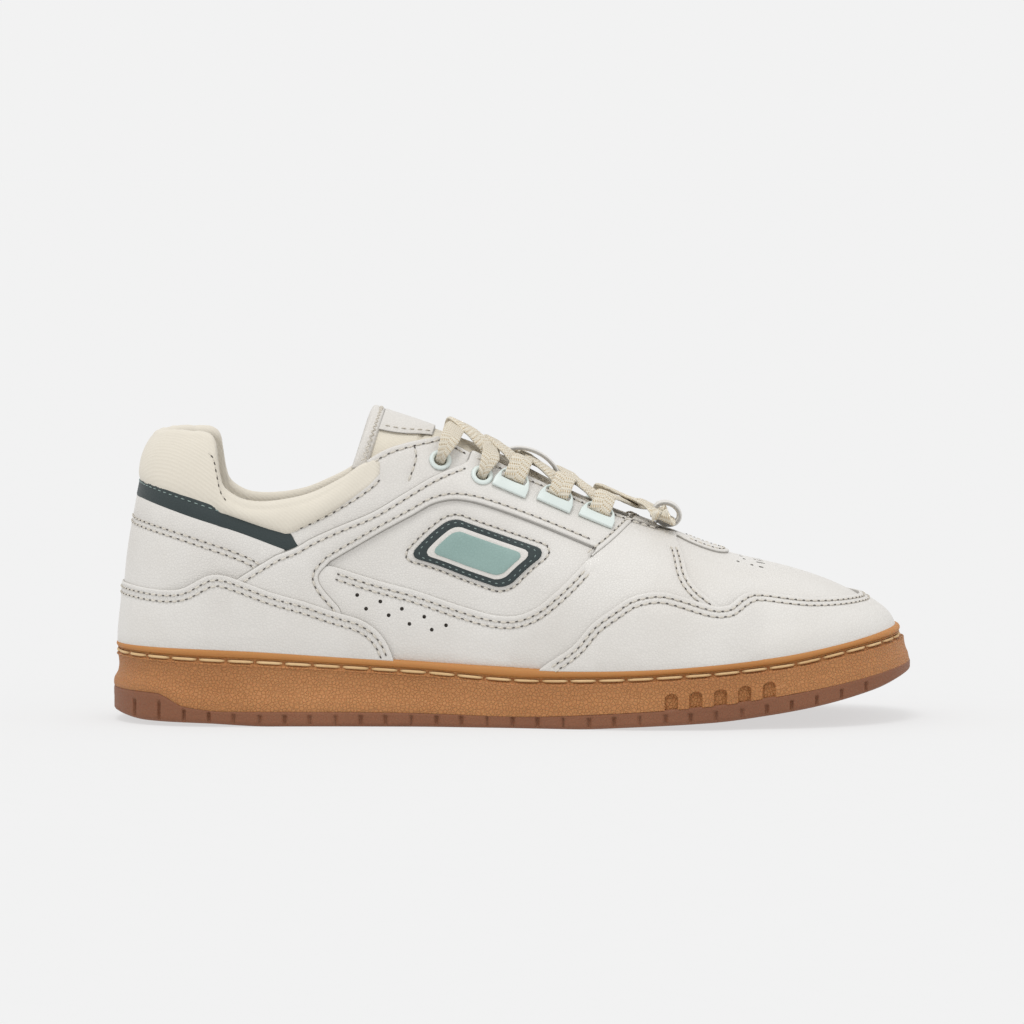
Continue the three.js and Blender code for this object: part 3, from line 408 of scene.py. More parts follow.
def shift_inward(tq, amount, closed=True):
    """Moves a line on the surface sideways by a distance in millimetres."""
    here = upper_base(tq[:, 0], tq[:, 1])
    if closed:
        along = np.roll(here, -1, axis=0) - np.roll(here, 1, axis=0)
    else:
        along = np.gradient(here, axis=0)
    normal = upper_normal(tq[:, 0], tq[:, 1])
    side = np.cross(normal, along)
    side /= np.maximum(np.linalg.norm(side, axis=1, keepdims=True), 1e-9)
    step = 2e-3
    low_q = np.clip(tq[:, 1], 0, 0.997)
    dt = (upper_base(tq[:, 0] + step, low_q) - upper_base(tq[:, 0] - step, low_q)) / (2 * step)
    dq = (upper_base(tq[:, 0], low_q + step) - upper_base(tq[:, 0], low_q)) / step
    a, b, c = (dt * dt).sum(1), (dt * dq).sum(1), (dq * dq).sum(1)
    u, v = (dt * side).sum(1), (dq * side).sum(1)
    det = np.maximum(a * c - b * b, 1e-6)
    move = np.column_stack([(c * u - b * v) / det, (a * v - b * u) / det])
    result = tq + amount * move
    result[:, 1] = np.clip(result[:, 1], 0, 0.9995)
    return result


def flat_inset(line, amount, closed=True):
    """Moves a line of 2-D points to its left."""
    along = np.roll(line, -1, axis=0) - np.roll(line, 1, axis=0) if closed else np.gradient(line, axis=0)
    along /= np.maximum(np.linalg.norm(along, axis=1, keepdims=True), 1e-9)
    return line + amount * np.column_stack([-along[:, 1], along[:, 0]])


def loop_turn(uv):
    """+1 where a closed loop in the pattern plane runs so that its left side is inside."""
    x, y = uv[:, 0], uv[:, 1]
    return 1.0 if np.sum(x * np.roll(y, -1) - np.roll(x, -1) * y) > 0 else -1.0


def resample_tq(tq, step, closed):
    """Even spacing in millimetres along a line on the surface, even where it crosses the ridge."""
    jumps = np.abs(np.diff(np.append(tq[:, 0], tq[0, 0]) if closed else tq[:, 0]))
    if jumps.max() > 0.5:
        return from_plan(resample(to_plan(tq), step, closed))
    here = upper_base(tq[:, 0], tq[:, 1])
    line = np.column_stack([here, tq])
    if closed:
        line = np.vstack([line, line[:1]])
    return even_rows(line[:, 3:], run_length(line[:, :3]), step, closed)


# The top-view map of the upper, for pieces that cross the ridge. Beyond the two fan centres a
# station is found from its angle about the centre.
FAN_S = np.linspace(0, 1, 200)
_heel_x, _heel_reach = outline(FAN_S, 0)
HEEL_ANGLE = np.arctan2(_heel_reach, HEEL_X - _heel_x)
_toe_x, _toe_reach = outline(3 - FAN_S, 0)
TOE_ANGLE = np.arctan2(_toe_reach, _toe_x - TOE_X)


def to_plan(tq):
    """Where (t, q) lies on the top-view map."""
    s, side = split(tq[:, 0])
    x, reach = outline(s, 0)
    spine = np.clip(x, HEEL_X, TOE_X)
    left = 1 - tq[:, 1]
    return np.column_stack([spine + (x - spine) * left, side * reach * left])


def from_plan(points):
    """(t, q) of points of the top-view map."""
    x, y = points[:, 0], points[:, 1]
    spine = np.clip(x, HEEL_X, TOE_X)
    angle = np.arctan2(np.abs(y), np.abs(x - spine))
    s = 1 + (x - HEEL_X) / (TOE_X - HEEL_X)
    s = np.where(x < HEEL_X, np.interp(angle, HEEL_ANGLE, FAN_S), s)
    s = np.where(x > TOE_X, 3 - np.interp(angle, TOE_ANGLE, FAN_S), s)
    edge_x, edge_reach = outline(s, 0)
    full = np.where(x == spine, edge_reach, np.hypot(edge_x - spine, edge_reach))
    left = np.hypot(x - spine, y) / full
    return np.column_stack([np.where(y < 0, s, 6 - s), np.clip(1 - left, 0, 0.9995)])


SIDE_MAP = (to_plane, from_plane)
TOP_MAP = (to_plan, from_plan)


def pressed_line(seam, rim, to_2d, dent):
    """Three lines of 2-D points along a seam, the middle one pressed in, and their heights."""
    line = resample_tq(seam, 1.5, False)
    points, heights = [], []
    for aside, drop in ((-0.8, 0.0), (0.0, dent), (0.8, 0.0)):
        uv = to_2d(shift_inward(line, aside, closed=False))
        keep = inside(uv, rim)
        keep &= np.array([np.hypot(*(rim - p).T).min() > 0.35 for p in uv])
        points.append(uv[keep])
        heights.append(np.full(int(keep.sum()), -drop))
    return points, heights


def inner_grid(loops, fixed, spacing):
    """Even grid of 2-D points inside the first loop, clear of the others and of fixed points."""
    low_corner, high_corner = loops[0].min(0), loops[0].max(0)
    xs = np.arange(low_corner[0], high_corner[0], spacing)
    ys = np.arange(low_corner[1], high_corner[1], spacing * 0.866)
    grid = np.array([(x + (spacing / 2 if j % 2 else 0), y) for j, y in enumerate(ys) for x in xs])
    if len(grid):
        grid = grid[inside(grid, loops[0])]
    for hole in loops[1:]:
        grid = grid[~inside(grid, hole)]
    if len(grid):
        gap = np.concatenate([np.sqrt(((part[:, None] - fixed[None]) ** 2).sum(2)).min(1)
                              for part in np.array_split(grid, max(len(grid) // 300, 1))])
        grid = grid[gap > spacing * 0.42]
    return grid


def panel(name, loop, top, thickness, finish, nodes=(), seams=(), holes=(), spacing=3.0, edge=0.45,
          chart=SIDE_MAP, dent=0.32, skived=0.0):
    """One cut leather piece with rounded edges; seams are pressed into it and holes go through."""
    to_2d, from_2d = chart
    loop = resample_tq(loop, 1.4, True)
    if loop_turn(to_2d(loop)) < 0:
        loop = loop[::-1]
    level = top if callable(top) else lambda t, q: np.full(np.shape(t), float(top))

    def inset(amount):
        if chart is TOP_MAP:
            return from_2d(flat_inset(to_2d(loop), amount))
        return shift_inward(loop, amount)

    foot = inset(-skived) if skived else loop
    rings = [(foot, -thickness), (loop, -edge), (inset(edge * 0.3), -edge * 0.3), (inset(edge), 0.0)]
    rim = to_2d(rings[-1][0])
    count = len(rim)

    points, heights, links = [rim], [np.zeros(count)], ring_links(0, count)
    hole_loops = []
    at = count
    for hole in holes:
        uv = to_2d(hole)
        if loop_turn(uv) > 0:
            uv = uv[::-1]
        hole_loops.append((at, uv))
        links += ring_links(at, len(uv))
        # Two rings round the hole keep its edge from bending the leather further out
        rings_out = [uv.mean(0) + (uv - uv.mean(0)) * spread_by for spread_by in (1.35, 2.2)]
        for ring in [uv] + [ring[inside(ring, rim)] for ring in rings_out]:
            points.append(ring)
            heights.append(np.zeros(len(ring)))
            at += len(ring)
    for seam in seams:
        line_points, line_heights = pressed_line(seam, rim, to_2d, dent)
        points += line_points
        heights += line_heights
    loops = [rim] + [uv for _, uv in hole_loops]
    grid = inner_grid(loops, np.vstack(points), spacing)
    points.append(grid)
    heights.append(np.zeros(len(grid)))
    height = np.concatenate(heights)
    verts2d, faces, where = fill_between(np.vstack(points), links, loops, 1e-4)
    out_height = np.zeros(len(verts2d))
    for old, new in where.items():
        out_height[new] = height[old]

    tq = from_2d(verts2d)
    face_level = level(tq[:, 0], tq[:, 1])
    top_points = upper(tq[:, 0], tq[:, 1], face_level + out_height)
    under_points = upper(tq[:, 0], tq[:, 1], face_level - thickness)
    ring_points = [upper(r[:, 0], r[:, 1], level(r[:, 0], r[:, 1]) + h) for r, h in rings[:-1]]
    n = len(verts2d)
    everything = np.vstack([top_points, under_points] + ring_points)
    ring_at = [2 * n + k * count for k in range(3)]
    rim_id = [where[i] for i in range(count)]
    all_faces = [tuple(f) for f in faces] + [(int(f[2]) + n, int(f[1]) + n, int(f[0]) + n) for f in faces]
    raw_edge, hole_walls = [], []
    for i in range(count):
        j = (i + 1) % count
        if rim_id[i] == rim_id[j]:
            continue
        raw_edge.append(len(all_faces))
        all_faces.append((ring_at[0] + i, ring_at[0] + j, ring_at[1] + j, ring_at[1] + i))
        all_faces.append((ring_at[1] + i, ring_at[1] + j, ring_at[2] + j, ring_at[2] + i))
        all_faces.append((ring_at[2] + i, ring_at[2] + j, rim_id[j], rim_id[i]))
        all_faces.append((rim_id[i] + n, rim_id[j] + n, ring_at[0] + j, ring_at[0] + i))
    for start, uv in hole_loops:
        for i in range(len(uv)):
            p, q = where[start + i], where[start + (i + 1) % len(uv)]
            hole_walls.append(len(all_faces))
            all_faces.append((p, q, q + n, p + n)[::-1])
    obj = new_object(name, everything, all_faces, finish, parts=nodes)
    for i in raw_edge + hole_walls:
        obj.data.polygons[i].material_index = 1
    # Flat walls keep the leather's shading smooth round each hole
    for i in hole_walls:
        obj.data.polygons[i].use_smooth = False
    return obj


# ---------------------------------------------------------------- stitches

class Thread:
    """Collects stitches, each a short bowed tube that dives into the leather at both ends."""

    def __init__(self, needle_hole_shade=None):
        self.points = []
        self.faces = []
        self.needle_hole_shade = needle_hole_shade

    def stitch(self, a, b, normal, radius, sag=0.35):
        along = b - a
        along = along / max(np.linalg.norm(along), 1e-9)
        side = np.cross(normal, along)
        rings, sides = 5, 6
        base = len(self.points)
        for i in range(rings):
            t = i / (rings - 1)
            bow = math.sin(t * math.pi) ** 0.6
            middle = a + (b - a) * t + normal * (radius * 0.55 * bow - sag * (1 - bow))
            width = radius * (0.72 + 0.28 * bow)
            for j in range(sides):
                angle = 2 * math.pi * j / sides
                self.points.append(middle + (side * math.cos(angle) + normal * math.sin(angle)) * width)
        self.faces += tube_faces(rings, sides, base)

    def row(self, points, normals, length=2.3, gap=0.9, radius=0.3, closed=False):
        data = np.column_stack([points, normals])
        if closed:
            data = np.vstack([data, data[:1]])
        run = run_length(data[:, :3])
        number = max(int(run[-1] // (length + gap)), 1)
        pitch = run[-1] / number
        for i in range(number):
            at = [i * pitch + gap / 2, (i + 1) * pitch - gap / 2, (i + 1) * pitch]
            a, b, hole = rows_at(at, run, data)
            normal = (a[3:] + b[3:])
            normal /= max(np.linalg.norm(normal), 1e-9)
            self.stitch(a[:3], b[:3], normal, radius)
            # A short dark tube at each needle hole is painted shade, standing in for the shade inside the
            # hole
            if self.needle_hole_shade:
                along = (b[:3] - a[:3]) * (0.5 * gap + 0.06) / np.linalg.norm(b[:3] - a[:3])
                self.needle_hole_shade.stitch(hole[:3] - along, hole[:3] + along, hole[3:], 0.24, 0.12)

    def on_upper(self, tq, offset, **options):
        line = resample_tq(tq, 1.0, options.get("closed", False))
        heights = offset(line[:, 0], line[:, 1]) if callable(offset) else np.full(len(line), offset)
        self.row(upper(line[:, 0], line[:, 1], heights), upper_normal(line[:, 0], line[:, 1]), **options)

    def add(self, name, finish, body=SHOE, nodes=()):
        return new_object(name, self.points, self.faces, finish, body=body, parts=nodes)


# ---------------------------------------------------------------- finishes

def finish_tree(name, color, roughness, sheen=0.0, coat=0.0, subsurface=0.0):
    """New material with its node tree and its shader."""
    material = bpy.data.materials.new(name)
    material.use_nodes = True
    tree = material.node_tree
    shader = tree.nodes["Principled BSDF"]
    shader.inputs["Base Color"].default_value = (*color, 1)
    shader.inputs["Roughness"].default_value = roughness
    shader.inputs["Sheen Weight"].default_value = sheen
    shader.inputs["Coat Weight"].default_value = coat
    if subsurface:
        shader.inputs["Subsurface Weight"].default_value = subsurface
        shader.inputs["Subsurface Scale"].default_value = 0.002
    return material, tree, shader


def linear(r, g, b):
    """Linear colour from an ordinary 0-255 colour."""
    return tuple(((c / 255 + 0.055) / 1.055) ** 2.4 if c > 10 else c / 3294 for c in (r, g, b))


def node(tree, kind, values=None, **settings):
    """Adds a node; values go to its inputs as links or numbers, settings to the node."""
    made = tree.nodes.new(kind)
    for key, value in settings.items():
        setattr(made, key, value)
    for key, value in (values or {}).items():
        if isinstance(value, bpy.types.NodeSocket):
            tree.links.new(value, made.inputs[key])
        else:
            made.inputs[key].default_value = value
    return made


def mix_colors(tree, factor, a, b):
    mixed = node(tree, "ShaderNodeMix", data_type="RGBA")
    for socket, value in ((0, factor), (6, a), (7, b)):
        if isinstance(value, bpy.types.NodeSocket):
            tree.links.new(value, mixed.inputs[socket])
        else:
            mixed.inputs[socket].default_value = (*value, 1) if isinstance(value, tuple) else value
    return mixed.outputs[2]


def spread(tree, value, low, high, to_low=0.0, to_high=1.0):
    return node(tree, "ShaderNodeMapRange", {"Value": value, "From Min": low, "From Max": high,
                                             "To Min": to_low, "To Max": to_high}).outputs[0]


def math_node(tree, operation, a, b=0.0):
    return node(tree, "ShaderNodeMath", {0: a, 1: b}, operation=operation).outputs[0]


def place(tree):
    """Coordinates fixed to the piece."""
    return node(tree, "ShaderNodeTexCoord").outputs["Object"]


def bump(tree, shader, height, strength, distance, below=None):
    """Relief for the shader, on top of an earlier one."""
    made = node(tree, "ShaderNodeBump", {"Height": height, "Strength": strength, "Distance": distance})
    if below is not None:
        tree.links.new(below, made.inputs["Normal"])
    tree.links.new(made.outputs[0], shader.inputs["Normal"])
    return made.outputs[0]


def noise(tree, where, scale, detail, distortion=0.0):
    values = {"Vector": where, "Scale": scale, "Detail": detail, "Distortion": distortion}
    return node(tree, "ShaderNodeTexNoise", values).outputs[0]


def cell_edges(tree, where, scale):
    values = {"Vector": where, "Scale": float(scale)}
    return node(tree, "ShaderNodeTexVoronoi", values, feature="DISTANCE_TO_EDGE").outputs["Distance"]


def vary(tree, shader, roughness, by, less, more):
    """Roughness that follows a noise, from less below the usual value to more above it."""
    value = spread(tree, by, 0.3, 0.7, roughness - less, roughness + more)
    tree.links.new(value, shader.inputs["Roughness"])


def leather(name, color, shade, roughness=0.5, grain=1.0, cell=900):
    """Milled leather: fine pebble grain, pores, soft wrinkles and faint uneven colour."""
    material, tree, shader = finish_tree(name, color, roughness, coat=0.04)
    where = place(tree)
    broad = noise(tree, where, 28.0, 4.0)
    pebbles = spread(tree, cell_edges(tree, where, cell), 0.0, 0.22)
    fine = noise(tree, where, 2600.0, 3.0)
    wrinkles = noise(tree, where, 150.0, 5.0, 0.8)
    tone = mix_colors(tree, spread(tree, broad, 0.35, 0.68), color, shade)
    creased = mix_colors(tree, spread(tree, pebbles, 0.0, 0.6, 0.16 * grain, 0.0), tone,
                         tuple(c * 0.62 for c in shade))
    tree.links.new(creased, shader.inputs["Base Color"])
    vary(tree, shader, roughness, fine, 0.06, 0.1)
    first = bump(tree, shader, wrinkles, 0.22, 0.0006)
    second = bump(tree, shader, pebbles, 0.30 * grain, 0.00022, first)
    bump(tree, shader, fine, 0.12, 0.00012, second)
    return material


def raw_edge(name, color):
    """Cut edge of leather: fibrous and a little darker."""
    material, tree, shader = finish_tree(name, color, 0.85)
    fibres = noise(tree, place(tree), 1500.0, 3.0)
    tone = mix_colors(tree, fibres, tuple(c * 0.72 for c in color), color)
    tree.links.new(tone, shader.inputs["Base Color"])
    bump(tree, shader, fibres, 0.4, 0.0002)
    return material


def knit(name, color, shade, scale=620.0, roughness=0.9):
    """Spacer mesh: small open cells between crossing yarns."""
    material, tree, shader = finish_tree(name, color, roughness, sheen=0.25)
    where = place(tree)
    holes = node(tree, "ShaderNodeTexVoronoi", {"Vector": where, "Scale": scale, "Randomness": 0.35},
                 feature="F1").outputs["Distance"]
    yarn = noise(tree, where, 4200.0, 2.0)
    broad = noise(tree, where, 40.0, 3.0)
    cell = spread(tree, holes, 0.12, 0.42)
    tone = mix_colors(tree, spread(tree, broad, 0.3, 0.7), color, tuple(c * 0.93 for c in color))
    pitted = mix_colors(tree, spread(tree, cell, 0.0, 0.75, 0.62, 0.0), tone, shade)
    tree.links.new(pitted, shader.inputs["Base Color"])
    first = bump(tree, shader, cell, 0.75, 0.0005)
    bump(tree, shader, yarn, 0.25, 0.0002, first)
    return material


def cloth(name, color, shade, roughness=0.82):
    """Close tricot cloth over foam: fine diagonal ribs, soft nap and faint pulls."""
    material, tree, shader = finish_tree(name, color, roughness, sheen=0.1)
    where = place(tree)
    values = {"Vector": where, "Scale": 330.0, "Distortion": 1.2, "Detail": 2.0, "Detail Scale": 2.0}
    bands = {"wave_type": "BANDS", "bands_direction": "DIAGONAL"}
    ribs = node(tree, "ShaderNodeTexWave", values, **bands).outputs["Fac"]
    values = {"Vector": where, "Scale": 1500.0, "Randomness": 0.5}
    cross = node(tree, "ShaderNodeTexVoronoi", values).outputs[0]
    nap = noise(tree, where, 3600.0, 2.0)
    broad = noise(tree, where, 55.0, 4.0)
    tone = mix_colors(tree, spread(tree, broad, 0.3, 0.72), color, tuple(c * 0.95 for c in color))
    ribbed = mix_colors(tree, spread(tree, ribs, 0.2, 0.9, 0.22, 0.0), tone, shade)
    speckled = mix_colors(tree, spread(tree, cross, 0.1, 0.6, 0.25, 0.0), ribbed, shade)
    tree.links.new(speckled, shader.inputs["Base Color"])
    first = bump(tree, shader, broad, 0.25, 0.0009)
    second = bump(tree, shader, ribs, 0.25, 0.00018, first)
    bump(tree, shader, nap, 0.2, 0.00012, second)
    return material


def rubber(name, color, shade, grain=0.5, roughness=0.62, cell=520):
    """Moulded gum rubber with a fine leather-like grain and slightly cloudy colour."""
    material, tree, shader = finish_tree(name, color, roughness, subsurface=0.08)
    where = place(tree)
    broad = noise(tree, where, 18.0, 5.0)
    cells = cell_edges(tree, where, cell)
    fine = noise(tree, where, 1900.0, 4.0)
    tone = mix_colors(tree, spread(tree, broad, 0.3, 0.72), color, shade)
    pitted = mix_colors(tree, spread(tree, cells, 0.0, 0.12, 0.14 * grain, 0.0), tone,
                        tuple(c * 0.6 for c in shade))
    tree.links.new(pitted, shader.inputs["Base Color"])
    vary(tree, shader, roughness, fine, 0.05, 0.1)
    first = bump(tree, shader, spread(tree, cells, 0.0, 0.16), grain * 0.5, 0.00025)
    bump(tree, shader, fine, 0.18, 0.00012, first)
    return material


def woven(name, color, fleck):
    """Flat woven lace: a herringbone of yarns laid by the ribbon's own length and width."""
    material, tree, shader = finish_tree(name, color, 0.85, sheen=0.2)
    uv = node(tree, "ShaderNodeUVMap", uv_map="UVMap").outputs[0]
    parts = node(tree, "ShaderNodeSeparateXYZ", {0: uv})
    along, over = parts.outputs[0], parts.outputs[1]
    slant = math_node(tree, "ABSOLUTE", over)
    chevron = math_node(tree, "ADD", along, math_node(tree, "MULTIPLY", slant, 0.9))
    ribs = math_node(tree, "SINE", math_node(tree, "MULTIPLY", chevron, 2 * math.pi / 0.0011))
    cross = math_node(tree, "SINE", math_node(tree, "MULTIPLY", over, 2 * math.pi / 0.0009))
    weave = spread(tree, math_node(tree, "MULTIPLY", ribs, cross), -1.0, 1.0)
    slow = math_node(tree, "SINE", math_node(tree, "MULTIPLY", chevron, 2 * math.pi / 0.0019))
    wide = math_node(tree, "SINE", math_node(tree, "MULTIPLY", over, 2 * math.pi / 0.0016))
    mark = math_node(tree, "MULTIPLY", slow, wide)
    tone = mix_colors(tree, spread(tree, weave, 0.0, 0.4, 0.28, 0.0), color, fleck)
    flecked = mix_colors(tree, spread(tree, mark, 0.3, 0.7, 0.0, 0.75), tone, fleck)
    tree.links.new(flecked, shader.inputs["Base Color"])
    bump(tree, shader, weave, 0.8, 0.0005)
    return material


def plain(name, color, shade, roughness=0.5, scale=1500.0, strength=0.15):
    """Moulded or pressed material with a fine grain and slight colour change."""
    material, tree, shader = finish_tree(name, color, roughness)
    where = place(tree)
    fine = noise(tree, where, scale, 4.0)
    broad = noise(tree, where, 60.0, 3.0)
    tree.links.new(mix_colors(tree, spread(tree, broad, 0.3, 0.7), color, shade), shader.inputs["Base Color"])
    vary(tree, shader, roughness, fine, 0.06, 0.08)
    bump(tree, shader, fine, strength, 0.0002)
    return material


LEATHER = leather("off_white_leather", linear(221, 218, 213), linear(214, 210, 204))
CUT_EDGE = raw_edge("leather_cut_edge", linear(184, 181, 176))
GREEN = leather("green_leather", linear(43, 55, 56), linear(36, 48, 49), roughness=0.55, grain=0.8)
GREEN_EDGE = raw_edge("green_cut_edge", linear(50, 60, 60))
MINT = leather("mint_leather", linear(147, 173, 167), linear(136, 163, 157), grain=0.8)
COLLAR_CLOTH = cloth("collar_textile", linear(223, 216, 202), linear(211, 203, 188))
TONGUE_CLOTH = cloth("tongue_textile", linear(229, 222, 207), linear(216, 208, 191))
LINING_CLOTH = knit("lining_textile", linear(228, 220, 202), linear(186, 176, 154), scale=620.0)
LACE_CLOTH = woven("lace_textile", linear(238, 230, 212), linear(190, 158, 102))
THREAD_LIGHT = plain("thread_light", linear(216, 210, 199), linear(204, 197, 185), 0.65, 3000.0)
THREAD_GREEN = plain("thread_green", linear(148, 164, 160), linear(130, 148, 144), 0.65, 3000.0)
THREAD_TAN = plain("thread_tan", linear(222, 190, 142), linear(206, 170, 120), 0.65, 3000.0)
# Painted shade: this dark colour goes on discs at the bottoms of the punched holes and on marks at the needle
# holes, standing in for the shade inside them
HOLE_SHADE_PAINT = plain("painted_hole_shade", linear(92, 86, 80), linear(78, 72, 67), 0.95)
GUM = rubber("gum_rubber", linear(186, 128, 77), linear(173, 115, 65), grain=1.8, cell=760)
GUM_SMOOTH = rubber("gum_rubber_smooth", linear(189, 130, 68), linear(179, 119, 60), grain=0.4, cell=900)
TREAD = rubber("tread_rubber", linear(136, 87, 58), linear(124, 77, 50), grain=0.7, cell=700)
PLASTIC = plain("loop_plastic", linear(221, 229, 225), linear(211, 220, 216), 0.36, 900.0)
FOAM = plain("foam", linear(240, 238, 232), linear(228, 225, 216), 0.9, 700.0, strength=0.5)
BOARD = plain("board", linear(201, 180, 143), linear(186, 164, 126), 0.9, 500.0, strength=0.3)
STIFFENER = plain("stiffener", linear(216, 212, 196), linear(204, 199, 182), 0.8, 600.0, strength=0.3)
FLOOR = plain("floor", (0.24, 0.24, 0.24), (0.238, 0.238, 0.238), 0.9, 50.0, strength=0.0)
# The floor is a lit white table, so that shadows on it stay faint
FLOOR_LOOK = FLOOR.node_tree.nodes["Principled BSDF"].inputs
FLOOR_LOOK["Emission Color"].default_value = (1, 1, 1, 1)
FLOOR_LOOK["Emission Strength"].default_value = 0.604
FLOOR_LOOK["Specular IOR Level"].default_value = 0
SKIN = [LEATHER, CUT_EDGE]


# ---------------------------------------------------------------- pattern lines, side view (x, z)

COLLAR_TAB = smooth([(-131.5, 109.9), (-127.9, 110.6), (-122.8, 110.4), (-116.4, 110.1), (-113.4, 109.6),
                     (-111.2, 107.3), (-109.9, 100.4), (-108.7, 93.1), (-107, 88.9), (-103.6, 86.2),
                     (-99.7, 84.5), (-93.9, 83.9), (-85.3, 84.7), (-76.6, 86.6), (-69.4, 89.6),
                     (-62.1, 93.5), (-57, 97.2), (-52, 99.6)], 1.5)
STRIPE_TOP = smooth([(-140.7, 91.6), (-119.9, 85.2), (-101.9, 79.4), (-83.8, 73.3)], 2.5)
STRIPE_BOTTOM = smooth([(-141.2, 84.6), (-119.9, 77.6), (-101.9, 71.9), (-84.5, 65.4), (-77, 63.0)], 2.5)
EYESTAY_TOP = smooth([(-83.8, 73.3), (-69.4, 80), (-65.7, 82.1), (-56.4, 87.9), (-51.3, 92.2),
                      (-50.6, 95.0)], 1.5)
EYESTAY_NOSE = smooth([(-54.7, 98.2), (-51.3, 100.4), (-46.3, 103), (-39.8, 105), (-34, 106.2),
                       (-29.7, 106.8)], 2)
STRAP_MIDLINE = smooth([(-84, 61.2), (-72, 66), (-62, 69.5), (-50, 75.5), (-38, 82), (-28, 87.5),
                        (-18, 91)], 4)
STRAP_TOP = smooth([(-88, 63.4), (-80.2, 66.4), (-75.9, 69), (-65.7, 73.7), (-52, 79.4), (-39.8, 86.6),
                    (-30.4, 92.1), (-23.2, 95.3), (-18.8, 96.8), (-16.4, 98.2)], 2)
STRAP_REAR = smooth([(-129, 30), (-119.5, 40.5), (-108, 50.6), (-99, 56.7), (-88, 63.4)], 2.5)
STRAP_CURL = smooth([(-66, 27), (-65.2, 33), (-63.8, 42.7), (-66.7, 46.6), (-70.8, 51.5), (-72.4, 55.6),
                     (-67.9, 61.3)], 1.5)
WINDOW_TOP = smooth([(-67.9, 61.3), (-58.5, 66.8), (-47.7, 73), (-36.9, 78.7), (-29.7, 82.7), (-22.4, 84.3),
                     (-15.2, 83.6), (-8, 81.6), (6.5, 76.5), (20.9, 70.8), (31.4, 66.4)], 2)
WINDOW_BOTTOM = smooth([(27, 61.7), (22.1, 56.4), (15.1, 49.8), (7.7, 44), (0.6, 41.5), (-6.6, 41.7),
                        (-20.9, 45.5), (-35.7, 50.4), (-50, 54.2), (-66, 59.3)], 2)
SADDLE_TOP = smooth([(27, 61.7), (36.2, 68.5), (44.3, 74.9), (48.6, 76.9)], 2)
SADDLE_FRONT = smooth([(61.6, 68.5), (63.7, 63.4), (65.5, 56.1), (69.1, 51.5), (76, 46), (84, 36),
                       (90, 26)], 2)
FOXING_TOP = smooth([(-148.1, 52.3), (-134.6, 50.7), (-128.1, 50.5), (-123.1, 51.1), (-118.2, 53.6),
                     (-114.1, 55.8), (-110, 56.6), (-105.9, 55.9), (-99.4, 53.6), (-89.6, 49.9),
                     (-77.3, 46.4), (-65, 42.3), (-56.8, 39.9), (-51.1, 36.4), (-47, 31.5), (-44.4, 25.5)], 2)
TOE_GUARD_TOP = smooth([(9.4, 21.6), (13, 24.4), (22.1, 30.8), (29.2, 39.1), (36.8, 44.7), (44, 49.3),
                        (54.5, 51.1), (61.8, 49.7), (69.1, 47.4), (76.5, 45.6), (80.1, 46), (83.8, 48.8),
                        (88.4, 51.1), (93.8, 51.3), (100.2, 50.4), (109.4, 49.2), (118.5, 48.8),
                        (127.7, 48.8), (131.5, 48.9)], 2)
BADGE_CENTRE = (-13, 64.5)
BADGE_TILT = -0.33
BADGE_SLANT = 0.55
# Rows of holes in the vamp: x of the first, distance from the centre line, and how many
VAMP_ROWS = ((85.5, 4.0, 4), (86.5, 10.0, 4), (84, 16.5, 3))
EYELETS = ((-27.1, 6.3), (-12, 6.7))
LOOP_SEATS = ((-1.6, 7.4), (14.6, 8.2), (30.2, 9.2))
EYELET_RADIUS = 2.8

LAYER_1, LAYER_2, STRAP_TOP_OFFSET, LAYER_3 = 1.45, 2.55, 3.05, 4.35


def foxing_level(t, q):
    """Outer face of the heel foxing: thinner at its top edge where no strap lies under it."""
    x, _, z = np.moveaxis(upper_base(t, q), -1, 0)
    edge = 3.35 + 0.85 * smoothstep(x, -134, -121)
    return LAYER_3 + (edge - LAYER_3) * smoothstep(z - BEAD_Z(x), 3, 17)


def guard_level(t, q):
    """Outer face of the toe guard: lower where it lies straight on the vamp."""
    x, _, z = np.moveaxis(upper_base(t, q), -1, 0)
    edge = 4.0 - 1.1 * smoothstep(x, 82, 95)
    return LAYER_3 + (edge - LAYER_3) * smoothstep(z - BEAD_Z(x), 2, 12)


def heel_level(t, q):
    """Outer face of the heel panel, which fills out just above the foxing."""
    x, _, z = np.moveaxis(upper_base(t, q), -1, 0)
    return LAYER_1 + 0.95 * (1 - smoothstep(z, 54, 84)) * smoothstep(-x, 118, 134)


def bottom_line(x_from, x_to, offset, count=40):
    """Where a panel meets the top of the cup, just inside its bead."""
    xs = np.linspace(x_from, x_to, count)
    return side_view(np.column_stack([xs, BEAD_Z(xs) - 0.7]), offset)


def ended_at_centre(tq, t):
    """A line whose first or last point is put exactly on the heel's or toe's centre line."""
    tq = tq.copy()
    tq[0 if abs(tq[0, 0] - t) < abs(tq[-1, 0] - t) else -1, 0] = t
    return tq


# ---------------------------------------------------------------- leather panels

# Dark marks at the needle holes: painted shade
needle_hole_shade = Thread()
thread = Thread(needle_hole_shade)
fine_thread = Thread()
LINES = {
    "stripe_top": ended_at_centre(side_view(STRIPE_TOP), 0),
    "stripe_bottom": ended_at_centre(side_view(STRIPE_BOTTOM), 0),
    "collar": ended_at_centre(side_view(COLLAR_TAB), 0),
    "eyestay_top": side_view(EYESTAY_TOP),
    "foxing_top": ended_at_centre(side_view(FOXING_TOP, LAYER_3), 0),
    "toe_guard_top": ended_at_centre(side_view(TOE_GUARD_TOP, LAYER_3), 3),
}


def round_heel(tq):
    """Lateral line that starts at the heel's centre, carried from the medial side right round."""
    return np.vstack([other_side(tq), tq[1:]])


def round_toe(tq):
    """Lateral line that ends at the toe's centre, carried right round to the medial side."""
    return np.vstack([tq, over_the_toe(tq)[1:]])


def seam_inset(tq, amount, start=0, end=None):
    """A stitch line that follows an edge at a distance; positive is to the left of the edge."""
    return shift_inward(tq[start:end], amount, closed=False)


